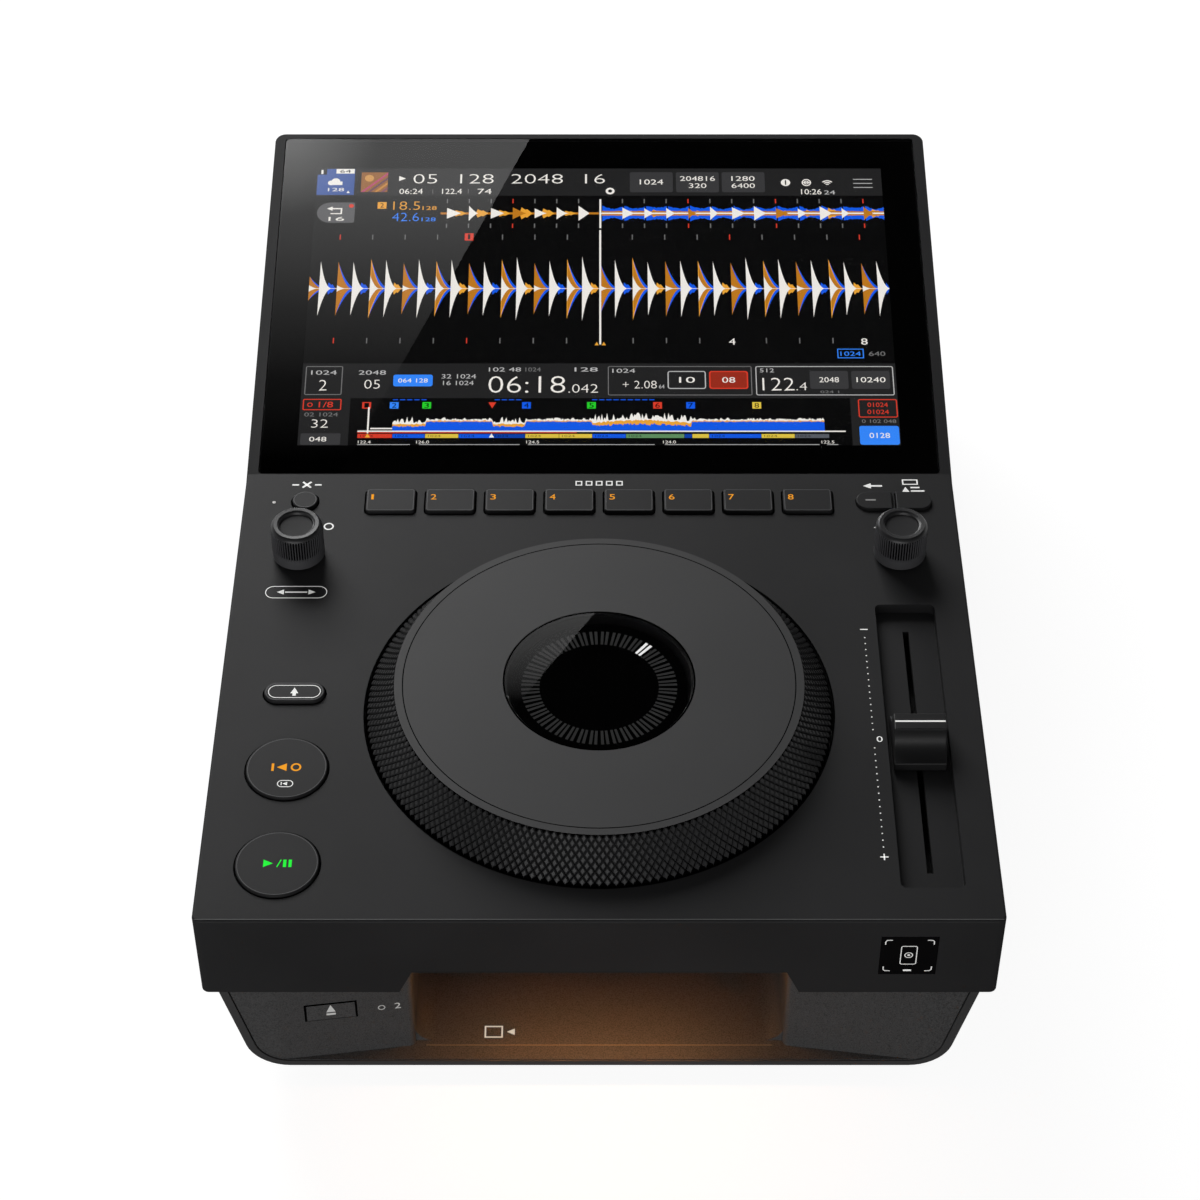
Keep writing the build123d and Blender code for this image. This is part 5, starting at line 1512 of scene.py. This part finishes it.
def make_seam():
    """The dark seam between the plate and the rim, and the black edge of the window."""
    seam = Marks(lambda u, v, w: (u, WHEEL_Y + v, WHEEL_TOP - 0.004 + w))
    seam.band(circle(0, 0, PLATE_R + 0.2, 180), circle(0, 0, PLATE_R - 0.15, 180), (0.004, 0.004, 0.004))
    seam.piece("jog_seam", finish_of("hidden_ink"), "jog_wheel", "jog_rim")
    low, high = box_mm("jog_window")
    window_r = (high.x - low.x) / 2
    edge = Marks(lambda u, v, w: (u, WHEEL_Y + v, high.z + 0.002 + w))
    edge.band(circle(0, 0, window_r - 0.02, 120), circle(0, 0, window_r - 0.5, 120), BLACK)
    edge.piece("jog_window_edge", finish_of("hidden_ink"), "jog_wheel", "jog_plate")


def make_wheel_display(sizes):
    """Ticks on the still display under the window, one pair of them lit white."""
    top = box_mm("jog_display")[1].z
    inner = 19.5
    outer = inner + 6.0
    outline = [(inner, -0.42), (outer, -0.5), (outer, 0.5), (inner, 0.42)]
    faint = (0.026, 0.026, 0.026)
    spread = math.radians(3.9)
    tick = Marks(lambda u, v, w: (u, v, w))
    tick.shape(outline, faint)
    ticks = grown(
        "jog_display_ticks",
        made_trees["ring"],
        piece_from("tick", tick.points, tick.faces),
        None,
        count=sizes.tick_pairs,
        cluster=2,
        cluster_angle=spread,
        start_angle=math.radians(4.5),
        radius=0.0,
        centre=(0.0, WHEEL_Y * MM, top * MM),
    )
    paint_ink(ticks, [faint] * len(ticks.data.vertices))
    give(ticks, finish_of("lit"), "casing")
    pair = Marks(lambda u, v, w: (u, WHEEL_Y + v, top + 0.02 + w))
    for side in (-0.5, 0.5):
        pair.shape(turned(outline, math.radians(49.5) + side * spread), (0.95, 0.95, 0.95))
    pair.piece("jog_display_position", finish_of("lit"), "casing", "jog_display")


class DJ_OT_wheel(bpy.types.Operator):
    """Makes the knurled rim, the plate, the window and the ticks of the jog wheel"""

    bl_idname = "dj.wheel"
    bl_label = "Jog wheel"

    def execute(self, _context):
        sizes = settings("dj_wheel")
        make_rim(sizes)
        make_seam()
        make_wheel_display(sizes)
        dress(["jog_plate"], finish_of("plate"))
        dress(["jog_window"], clear_glass("wheel_window_clear", (0.9, 0.9, 0.9)))
        dress(["jog_display"], finish_of("screen_black"))
        return {"FINISHED"}


# ---- knobs ----
def knob_rib(sizes, low, high):
    """A slim upright grip rib with pinched ends."""
    half = sizes.rib_wide / MM / 2
    deep = sizes.rib_deep / MM
    points = []
    for z, grow in ((low, 0.7), (low + 1.6, 0.9), (high - 0.3, 0.9), (high, 0.6)):
        out = deep * grow
        points += [(-0.2, -half, z), (out, -half * 0.45, z), (out, half * 0.45, z), (-0.2, half, z)]
    faces = [[3, 2, 1, 0], [12, 13, 14, 15]]
    for level in range(3):
        a = 4 * level
        faces += [[a + i, a + (i + 1) % 4, a + 4 + (i + 1) % 4, a + 4 + i] for i in range(4)]
    return piece_from("rib", points, faces)


def make_knob(name, body, sizes):
    """The turned body of a knob with a ring and a dish on top, and its grip ribs."""
    low, high = box_mm(name)
    centre = middle_mm(name)
    base_r = (high.x - low.x) / 2
    foot = low.z
    top = high.z
    side_r = base_r - sizes.rib_deep / MM
    skirt = foot + 0.16 * (top - foot)
    bore_r = 3.1
    bore_top = foot + 9.9
    dish_r = 5.75
    dish_z = top - 1.25
    outline = [
        (0, bore_top),
        (bore_r, bore_top),
        (bore_r, foot),
        (base_r - 0.7, foot),
        (base_r - 0.1, foot + 0.6),
        (base_r - 0.1, skirt + 1.0),
        (side_r, skirt + 2.5),
        (side_r, top - 1.6),
        (base_r - 0.35, top - 1.5),
        (base_r - 0.3, top - 1.3),
        (base_r - 0.5, top - 0.85),
        (base_r - 1.0, top - 0.25),
        (base_r - 1.35, top),
        (dish_r + 0.8, top - 0.08),
        (dish_r + 0.35, top - 0.4),
        (dish_r + 0.05, top - 0.5),
        (dish_r - 0.25, top - 1.2),
        (dish_r - 0.8, dish_z),
        (0, dish_z),
    ]
    shell = lathe(f"{name}_body", outline, (centre.x, centre.y), 120, soft_angle=24)
    give(shell, finish_of("knob"), body, [name])
    give_part(shell, finish_of("dish"), lambda p: abs(p.z - dish_z) < 0.03)
    # the lower side and the ribs take a lighter coating as a painted highlight; between the ribs the side is
    # black as painted shade
    give_part(shell, finish_of("rib"), lambda p: p.z < skirt + 2.4)
    give_part(shell, finish_of("hidden_ink"), lambda p: skirt + 2.5 < p.z < top - 1.55)
    ribs = grown(
        f"{name}_ribs",
        made_trees["ring"],
        knob_rib(sizes, skirt + 0.8, top - 1.35),
        finish_of("rib"),
        count=sizes.ribs,
        radius=(side_r - 0.05) * MM,
        centre=(centre.x * MM, centre.y * MM, 0.0),
    )
    give(ribs, finish_of("rib"), body)


class DJ_OT_knobs(bpy.types.Operator):
    """Makes the two ribbed knobs"""

    bl_idname = "dj.knobs"
    bl_label = "Knobs"

    def execute(self, _context):
        sizes = settings("dj_knobs")
        make_knob("loop_knob", "loop_dial", sizes)
        make_knob("browse_knob", "browse_dial", sizes)
        return {"FINISHED"}


# ---- keys ----
def key_marks(name):
    """Marks on the top of a key, measured from the middle of the key."""
    centre = middle_mm(name)
    top = box_mm(name)[1].z
    return Marks(lambda u, v, w: (centre.x + u, centre.y + v, top + w))


def draw_bevel_lines(colours):
    """A painted highlight: the thin bright line that runs round the top of each key, just inside its edge."""
    for name in KEY_CORNERS:
        top = cap_box(name)[1].z
        line = Marks(lambda u, v, w, top=top: (u, v, top + w))
        line.band(key_outline(name, -0.5), key_outline(name, -0.66), shade(colours.key, 3.4))
        line.piece(f"{name}_bevel", finish_of("ink"), name.replace("_key", "_button"), "key")


def mark_hot_cue_keys(colours):
    for number in range(1, 9):
        marks = key_marks(f"hot_cue_key_{number}")
        marks.digits(str(number), -6.9, -4.9 if number > 1 else -6.0, 0.2, 2.7, colours.lit_orange)
        marks.piece(f"hot_cue_figure_{number}", finish_of("lit"), f"hot_cue_button_{number}", "key")


def mark_big_keys(colours):
    cue = key_marks("cue_key")
    # a bar, a triangle and a ring side by side, with a small outlined mark below
    cue.box(-4.9, -1.4, -4.1, 1.8, colours.lit_orange)
    cue.arrow(-1.6, 0.2, 3.2, 180, colours.lit_orange)
    cue.ring(3.0, 0.2, 1.7, 0.6, colours.lit_orange)
    cue.piece("cue_figure", finish_of("lit"), "cue_button", "big_key")
    below = key_marks("cue_key")
    below.frame(-2.6, -8.4, 2.6, -5.4, 0.3, colours.print_white, corner=1.5)
    below.arrow(-0.1, -6.9, 1.5, 180, colours.print_white)
    below.box(-1.4, -7.6, -1.1, -6.2, colours.print_white)
    below.piece("cue_small_mark", finish_of("ink"), "cue_button", "big_key")
    play = key_marks("play_key")
    play.arrow(-2.8, 0.0, 3.0, 0, colours.lit_green)
    play.bar(0.6, 0.0, 3.2, 0.36, 68, colours.lit_green)
    play.box(1.9, -1.5, 2.9, 1.5, colours.lit_green)
    play.box(3.6, -1.5, 4.6, 1.5, colours.lit_green)
    play.piece("play_figure", finish_of("lit"), "play_button", "big_key")


def mark_small_keys(colours):
    shift = key_marks("shift_key")
    shift.frame(-8.7, -2.9, 8.7, 2.9, 0.26, colours.print_white, corner=2.85)
    shift.arrow(0.0, 0.5, 2.6, 90, colours.print_white)
    shift.box(-0.55, -1.9, 0.55, -0.7, colours.print_white)
    shift.piece("shift_figure", finish_of("ink"), "shift_button", "key")
    back = key_marks("back_key")
    back.box(-2.4, -0.35, 1.2, 0.35, shade(colours.print_white, 0.25))
    back.piece("back_figure", finish_of("ink"), "back_button", "key")
    mark_eject_key(shade(colours.print_white, 0.55))


def mark_eject_key(pale):
    """The sign on the eject key, whose top leans back, and black painted shade in the gap round its upper
    part.
    """
    x = -86.1
    lean = math.atan2(1.0, 7.1)
    middle = middle_mm("eject_key").z
    eject = Marks(facet_place(x, middle, sunk=0.5, lean=lean))
    eject.arrow(0.0, 0.9, 3.0, 90, pale)
    eject.box(-1.5, -1.9, 1.5, -1.1, pale)
    eject.piece("eject_figure", finish_of("ink"), "eject_button", "key")
    low, high = box_mm("eject_key")
    half = (high.z - low.z) / 2 + KEY_GAP
    outer = 8.5
    inner = 8.08
    # black bands as painted shade in the gap above and beside the key
    gap = Marks(facet_place(x, middle))
    gap.box(-outer, half, outer, half + 0.8, BLACK)
    gap.box(-outer, -half, -inner, half, BLACK)
    gap.box(inner, -half, outer, half, BLACK)
    gap.piece("eject_gap_edges", finish_of("hidden_ink"), "casing", "front_panel")


class DJ_OT_keys(bpy.types.Operator):
    """Finishes every key and puts its plain figure on it"""

    bl_idname = "dj.keys"
    bl_label = "Keys"

    def execute(self, _context):
        colours = settings("dj_colours")
        keys = [f"hot_cue_key_{number}" for number in range(1, 9)]
        keys += ["delete_key", "cue_key", "play_key", "shift_key", "back_key", "tag_key"]
        dress(keys, finish_of("key"))
        dress(["eject_key"], finish_of("panel"))
        draw_bevel_lines(colours)
        mark_hot_cue_keys(colours)
        mark_big_keys(colours)
        mark_small_keys(colours)
        return {"FINISHED"}


# ---- tempo fader ----
def make_fader_cap():
    """The scooped cap with softened edges, and the white line along its ridge."""
    low, high = box_mm("tempo_cap")
    centre = (low + high) / 2
    half_wide = (high.x - low.x) / 2
    half_deep = (high.y - low.y) / 2
    ridge = 3.6
    foot = low.z
    top = high.z
    scoop = 2.0
    run = half_deep - ridge
    rise = top - DECK_Z
    chord = math.hypot(run, rise)
    steps = 12
    curve = []
    for i in range(steps + 1):
        share = i / steps
        sag = scoop * 4 * share * (1 - share)
        y = half_deep - run * share - sag * rise / chord
        z = DECK_Z + rise * share - sag * run / chord
        curve.append((y, z))
    outline = [(-half_deep, foot), (half_deep, foot)] + curve + [(-y, z) for y, z in curve[::-1]]
    count = len(outline)
    points = [(centre.x - half_wide, centre.y + y, z) for y, z in outline]
    points += [(centre.x + half_wide, centre.y + y, z) for y, z in outline]
    faces = [list(range(count - 1, -1, -1)), list(range(count, 2 * count))]
    faces += [[i, (i + 1) % count, count + (i + 1) % count, count + i] for i in range(count)]
    cap = piece_from("tempo_cap_shell", points, faces, soft_angle=30)
    bevel = cap.modifiers.new("Soft edges", "BEVEL")
    bevel.width = 0.45 * MM
    bevel.segments = 3
    bevel.limit_method = "ANGLE"
    bevel.angle_limit = math.radians(30)
    bevel.harden_normals = True
    give(cap, finish_of("fader"), "tempo_fader", ["tempo_cap"])
    line = Marks(lambda u, v, w: (centre.x + u, centre.y + v, top - 0.006 + w))
    line.box(-half_wide + 0.4, -0.34, half_wide - 0.4, 0.34, (0.95, 0.95, 0.92))
    line.piece("tempo_cap_line", finish_of("ink"), "tempo_fader", "fader_cap")


class DJ_OT_fader(bpy.types.Operator):
    """Makes the cap of the tempo fader and finishes its frame"""

    bl_idname = "dj.fader"
    bl_label = "Tempo fader"

    def execute(self, _context):
        make_fader_cap()
        dress(["tempo_carriage"], finish_of("switch"))
        dress(["tempo_frame"], finish_of("powder"))
        return {"FINISHED"}


# ---- front ----
def draw_bracket(marks, centre, half, arm, line, turn, colour):
    """An L with a rounded corner, in one of the four corners of a square."""
    outer = [(half - arm, half)]
    inner = [(half - arm, half - line)]
    bend = 1.1
    for i in range(6):
        angle = math.radians(90 - 18 * i)
        c, s = math.cos(angle), math.sin(angle)
        outer.append((half - bend + bend * c, half - bend + bend * s))
        inner.append((half - bend + (bend - line) * c, half - bend + (bend - line) * s))
    outer.append((half, half - arm))
    inner.append((half - line, half - arm))
    corners = outer + inner[::-1]
    for _quarter in range(turn):
        corners = [(-b, a) for a, b in corners]
    marks.shape([(centre.x + a, centre.z + b) for a, b in corners], colour)


def draw_touch_marks(colours):
    """Corner brackets, a plain slab and rings, and a small bar on the touch window."""
    low, high = box_mm("touch_window")
    centre = (low + high) / 2
    marks = Marks(front_place(low.y + PRINT_LIFT))
    pale = shade(colours.print_white, 0.9)
    for turn in range(4):
        draw_bracket(marks, centre, 7.7, 2.3, 0.34, turn, pale)
    marks.frame(centre.x - 2.6, centre.z - 4.4, centre.x + 2.6, centre.z + 4.7, 0.3, pale, corner=0.8)
    marks.ring(centre.x, centre.z + 0.2, 1.35, 0.3, pale)
    marks.disc(centre.x, centre.z + 0.2, 0.45, pale)
    marks.box(centre.x - 1.3, centre.z - 7.7, centre.x + 1.3, centre.z - 6.9, colours.print_white, corner=0.3)
    marks.piece("touch_marks", finish_of("ink"), "casing", "black_gloss")


def draw_bay_marks(colours):
    """A box with an arrow pointing into it on the floor of the bay, drawn glowing as a painted highlight, a
    painted highlight along its sill, and a figure beside the bay.
    """
    pale = (0.62, 0.55, 0.45)
    marks = Marks(deck_place(BAY_FLOOR_Z))
    u, v = -32.6, 14.6
    marks.frame(u - 5.0, v - 2.4, u + 1.0, v + 2.4, 0.5, pale)
    marks.arrow(u + 3.6, v, 2.6, 180, pale)
    # the printed sign is drawn glowing: a painted highlight that keeps it pale in the amber light
    marks.piece("bay_floor_mark", finish_of("lit"), "casing", "front_panel")
    # a painted highlight: the bright crease where the sill meets the floor of the bay
    sill = Marks(deck_place(BAY_FLOOR_Z))
    sill.box(-BAY_HALF, 9.1, BAY_HALF, 9.35, (0.2, 0.15, 0.09))
    sill.piece("bay_sill_line", finish_of("ink"), "casing", "front_panel")
    side = Marks(facet_place(-68.0, 0.0))
    side.digits("2", 2.2, 4.2, 30.2, 2.8, shade(colours.print_white, 0.55))
    side.ring(-2.0, 31.4, 1.2, 0.35, shade(colours.print_white, 0.45))
    side.piece("bay_side_mark", finish_of("ink"), "casing", "front_panel")


def hang_bay_lamp(colours):
    """The real light that the amber bar throws down into the bay."""
    low, high = box_mm("bay_light_bar")
    lamp = bpy.data.lights.new("bay_lamp", "AREA")
    lamp.shape = "RECTANGLE"
    lamp.size = (high.x - low.x) * MM * 0.75
    lamp.size_y = (high.y - low.y) * MM
    lamp.energy = settings("dj_studio").bay_power
    lamp.color = colours.bay_light
    holder = link(bpy.data.objects.new("bay_lamp", lamp))
    holder.location = Vector(((low.x + high.x) / 2, (low.y + high.y) / 2, low.z - 0.3)) * MM
    lean_back = math.radians(62)
    holder.rotation_euler = (-lean_back, 0.0, 0.0)


class DJ_OT_front(bpy.types.Operator):
    """Finishes the front panel, the lit bay and the touch window"""

    bl_idname = "dj.front"
    bl_label = "Front panel and bay"

    def execute(self, _context):
        colours = settings("dj_colours")
        dress(["front_panel"], finish_of("panel"))
        dress(["usb_bay"], finish_of("bay"))
        dress(["bay_light_bar"], finish_of("amber"))
        dress(["touch_window"], finish_of("gloss"))
        dress(["usb_sockets"], steel("plated_contact", (0.6, 0.58, 0.55), 0.25))
        draw_touch_marks(colours)
        draw_bay_marks(colours)
        hang_bay_lamp(colours)
        return {"FINISHED"}


# ---- tub, rear and underside ----
class DJ_OT_case(bpy.types.Operator):
    """Finishes the tub, the rear panel with its sockets, the feet and the screws"""

    bl_idname = "dj.case"
    bl_label = "Tub, rear and feet"

    def execute(self, _context):
        dress(["bottom_case"], finish_of("tub"))
        dress(["rear_panel"], finish_of("powder"))
        dress(["mains_inlet", "power_rocker"], finish_of("switch"))
        dress(["rear_sockets"], steel("nickel_contact", (0.62, 0.6, 0.56), 0.25))
        dress(["feet"], finish_of("foot"))
        dress(["case_screws"], steel("blackened_steel", (0.08, 0.08, 0.085), 0.4))
        rocker = box_mm("power_rocker")
        centre = (rocker[0] + rocker[1]) / 2
        colour = settings("dj_colours").print_white
        # the two plain signs of a mains switch, on the sheet beside the rocker
        sheet_y = box_mm("rear_panel")[1].y - 9.0
        signs = Marks(lambda u, v, w: (centre.x - u, sheet_y + w, centre.z + v))
        signs.box(-10.2, 4.0, -9.6, 7.0, colour)
        signs.ring(-9.9, -5.4, 1.5, 0.45, colour)
        signs.piece("power_signs", finish_of("ink"), "casing", "sheet_steel_black")
        return {"FINISHED"}


# ---- inner parts ----
class DJ_OT_inner(bpy.types.Operator):
    """Finishes the parts held inside the casing"""

    bl_idname = "dj.inner"
    bl_label = "Inner parts"

    def execute(self, _context):
        bearing = steel("bearing_steel", (0.7, 0.7, 0.72), 0.15)
        sheet = steel("sheet_steel", (0.55, 0.55, 0.56), 0.32)
        contact = steel("bright_contact", (0.65, 0.62, 0.58), 0.25)
        dress(["usb_board", "touch_antenna", "display_board", "key_board", "main_board", "power_board"],
              finish_of("board"))
        dress(["display_bracket"], sheet)
        dress(["key_switches", "jog_sensor", "loop_plunger", "browse_plunger"], finish_of("switch"))
        dress(["loop_shaft", "browse_shaft", "loop_encoder", "browse_encoder", "jog_encoder_disc"], contact)
        dress(["jog_hub"], finish_of("inner"))
        dress(["jog_bearing_outer", "jog_bearing_inner"], bearing)
        dress(["jog_base"], finish_of("cast"))
        return {"FINISHED"}


# ---- studio ----
def bare_tree(holder):
    """Clears the nodes of a material or a world, and returns a writer for new ones."""
    holder.use_nodes = True
    holder.node_tree.nodes.clear()
    return MaterialWriter(holder.node_tree)


def mirrored_rays(w, path):
    """1 for light seen in a reflection or through glass, and 0 for the rest."""
    return w.maths("MAXIMUM", path["Is Glossy Ray"], path["Is Transmission Ray"])


def make_floor():
    """Pale floor. The camera sees it white with the player's shadow; other light finds it grey."""
    half = 4000.0
    under = -0.05
    corners = [(x, y, under) for x, y in rounded(-half, -half, half, half, 0.0)]
    floor = piece_from("studio_floor", corners, [[0, 1, 2, 3]])
    material = bpy.data.materials.new("studio_floor")
    w = bare_tree(material)
    path = w.add("ShaderNodeLightPath").outputs
    # reflections find the floor white behind the player and unlit in front of it
    behind = w.span(w.axis(w.place(), "Y"), 0.0, 1.0, -0.1, 0.5)
    mirrored = w.maths("MULTIPLY", mirrored_rays(w, path), behind)
    seen_white = w.maths("MAXIMUM", path["Is Camera Ray"], mirrored)
    white = w.fill(w.add("ShaderNodeBsdfDiffuse"), {"Color": (0.2, 0.2, 0.2, 1.0)})
    glow = w.fill(w.add("ShaderNodeEmission"), {"Color": (1.0, 1.0, 1.0, 1.0), "Strength": 0.92})
    bright = w.fill(w.add("ShaderNodeAddShader"), {0: white.outputs[0], 1: glow.outputs[0]})
    mottle = w.mottle(0.5, (0.2, 0.2, 0.2), (0.24, 0.24, 0.24))
    dull = w.fill(w.add("ShaderNodeBsdfDiffuse"), {"Color": mottle})
    mix = w.add("ShaderNodeMixShader")
    w.fill(mix, {"Fac": seen_white, 1: dull.outputs[0], 2: bright.outputs[0]})
    w.fill(w.add("ShaderNodeOutputMaterial"), {"Surface": mix.outputs[0]})
    floor.data.materials.append(material)


# brightness of the light card from its near edge to its far one: the screen glass shows the first rise,
# the wheel's window the second, and the deck only a soft mixture of both
CARD_FADE = (
    (0.02, 0.0), (0.12, 0.07), (0.21, 0.27), (0.31, 0.64), (0.36, 0.84), (0.45, 0.94),
    (0.5, 0.01), (0.7, 0.01), (0.74, 0.23), (0.79, 0.44), (0.86, 0.56),
)


def make_card():
    """A light card high behind the player. Its slanted edge, fade and bright corner show in the glass."""
    height = 2.0
    near, far, side = 0.80, 2.6, -1.3
    edge = [
        (-0.376, near), (-0.281, 1.002), (-0.08, 1.43), (-0.075, 1.5), (-0.14, 1.624), (-0.003, 1.855),
        (0.12, 2.06),
    ]
    corners = edge + [(0.12, far), (side, far), (side, near)]
    faces = [list(range(len(corners)))[::-1]]
    card = piece_from("studio_card", [(x / MM, y / MM, height / MM) for x, y in corners], faces)
    material = bpy.data.materials.new("studio_card")
    w = bare_tree(material)
    place = w.place()
    share = w.span(w.axis(place, "Y"), 0.0, 1.0, 1.0, 2.0)
    fade = w.ramp(share, [(position, (grey, grey, grey)) for position, grey in CARD_FADE])
    bright_corner = (-0.36, 1.44, height)
    away = w.add("ShaderNodeVectorMath", operation="DISTANCE")
    away = w.fill(away, {0: place, 1: bright_corner}).outputs["Value"]
    glow = w.add("ShaderNodeEmission")
    w.fill(glow, {"Color": fade, "Strength": w.span(away, 3.7, 1.6, 0.02, 0.11)})
    w.fill(w.add("ShaderNodeOutputMaterial"), {"Surface": glow.outputs[0]})
    card.data.materials.append(material)
    hide_card(card)


def hide_card(card):
    """Leaves a card to be seen only in reflections."""
    card.visible_camera = False
    card.visible_diffuse = False
    card.visible_shadow = False
    card.visible_transmission = False


def make_world(studio):
    """White for the camera and, low down, for shiny surfaces; soft grey light from all round for the rest."""
    world = bpy.data.worlds.new("studio_world")
    bpy.context.scene.world = world
    w = bare_tree(world)
    path = w.add("ShaderNodeLightPath").outputs
    way = w.add("ShaderNodeTexCoord").outputs["Generated"]
    white = (1.0, 1.0, 1.0)
    low_sky = w.ramp(w.axis(way, "Z"), [(0.0, white), (0.06, white), (0.24, (0.006, 0.006, 0.006))])
    room = w.add("ShaderNodeMix", data_type="RGBA")
    grey = (studio.sky, studio.sky, studio.sky, 1.0)
    w.fill(room, {"Factor": mirrored_rays(w, path), "A": grey, "B": low_sky})
    mix = w.add("ShaderNodeMix", data_type="RGBA")
    w.fill(mix, {"Factor": path["Is Camera Ray"], "A": room.outputs["Result"], "B": (*white, 1.0)})
    back = w.add("ShaderNodeBackground")
    w.fill(back, {"Color": mix.outputs["Result"], "Strength": 1.0})
    w.fill(w.add("ShaderNodeOutputWorld"), {"Surface": back.outputs[0]})


def hang_light(name, place, target, size, power):
    lamp = bpy.data.lights.new(name, "AREA")
    lamp.shape = "RECTANGLE"
    lamp.size = size[0]
    lamp.size_y = size[1]
    lamp.energy = power
    holder = link(bpy.data.objects.new(name, lamp))
    holder.location = place
    holder.rotation_euler = (Vector(target) - Vector(place)).to_track_quat("-Z", "Y").to_euler()
    return holder


def make_camera():
    camera = bpy.data.cameras.new("camera")
    camera.lens = 88.95
    camera.sensor_width = 36.0
    camera.shift_x = 0.0007
    camera.clip_start = 0.05
    holder = link(bpy.data.objects.new("camera", camera))
    holder.location = (0.0, -0.76355, 0.7942)
    holder.rotation_euler = (math.radians(45.42), 0.0, 0.0)
    bpy.context.scene.camera = holder


class DJ_OT_studio(bpy.types.Operator):
    """Makes the floor, the lights and the camera"""

    bl_idname = "dj.studio"
    bl_label = "Studio"

    def execute(self, context):
        studio = settings("dj_studio")
        make_floor()
        make_card()
        make_world(studio)
        hang_light("key_light", (-0.73, 1.7, 1.2), (0.0, 0.0, 0.08), (1.3, 1.1), studio.key_power)
        hang_light("fill_light", (-0.35, -1.8, 0.35), (0.0, 0.0, 0.05), (1.6, 0.5), studio.fill_power)
        make_camera()
        context.scene.view_settings.view_transform = "Standard"
        return {"FINISHED"}


OPERATORS = (
    DJ_OT_cover,
    DJ_OT_screen,
    DJ_OT_wheel,
    DJ_OT_knobs,
    DJ_OT_keys,
    DJ_OT_fader,
    DJ_OT_front,
    DJ_OT_case,
    DJ_OT_inner,
    DJ_OT_studio,
)
made_trees = {}


class DJ_PT_panel(bpy.types.Panel):
    """Lists the steps and the sizes of the player's looks"""

    bl_idname = "DJ_PT_panel"
    bl_label = "DJ Player"
    bl_space_type = "VIEW_3D"
    bl_region_type = "UI"
    bl_category = "DJ Player"

    def draw(self, context):
        layout = self.layout
        for operator in OPERATORS:
            layout.operator(operator.bl_idname)
        for name, group in GROUPS.items():
            box = layout.box()
            box.label(text=group.__name__)
            for prop in group.__annotations__:
                box.prop(getattr(context.scene, name), prop)


def register():
    for group in GROUPS.values():
        bpy.utils.register_class(group)
    for name, group in GROUPS.items():
        setattr(bpy.types.Scene, name, bpy.props.PointerProperty(type=group))
    for operator in OPERATORS:
        bpy.utils.register_class(operator)
    bpy.utils.register_class(DJ_PT_panel)


def unregister():
    bpy.utils.unregister_class(DJ_PT_panel)
    for operator in reversed(OPERATORS):
        bpy.utils.unregister_class(operator)
    for name in GROUPS:
        delattr(bpy.types.Scene, name)
    for group in GROUPS.values():
        bpy.utils.unregister_class(group)


def main():
    register()
    made_trees.update(ring=ring_tree(), knurl=knurl_tree(), row=row_tree())
    for operator in OPERATORS:
        family, name = operator.bl_idname.split(".")
        getattr(getattr(bpy.ops, family), name)()


if __name__ == "__main__":
    main()
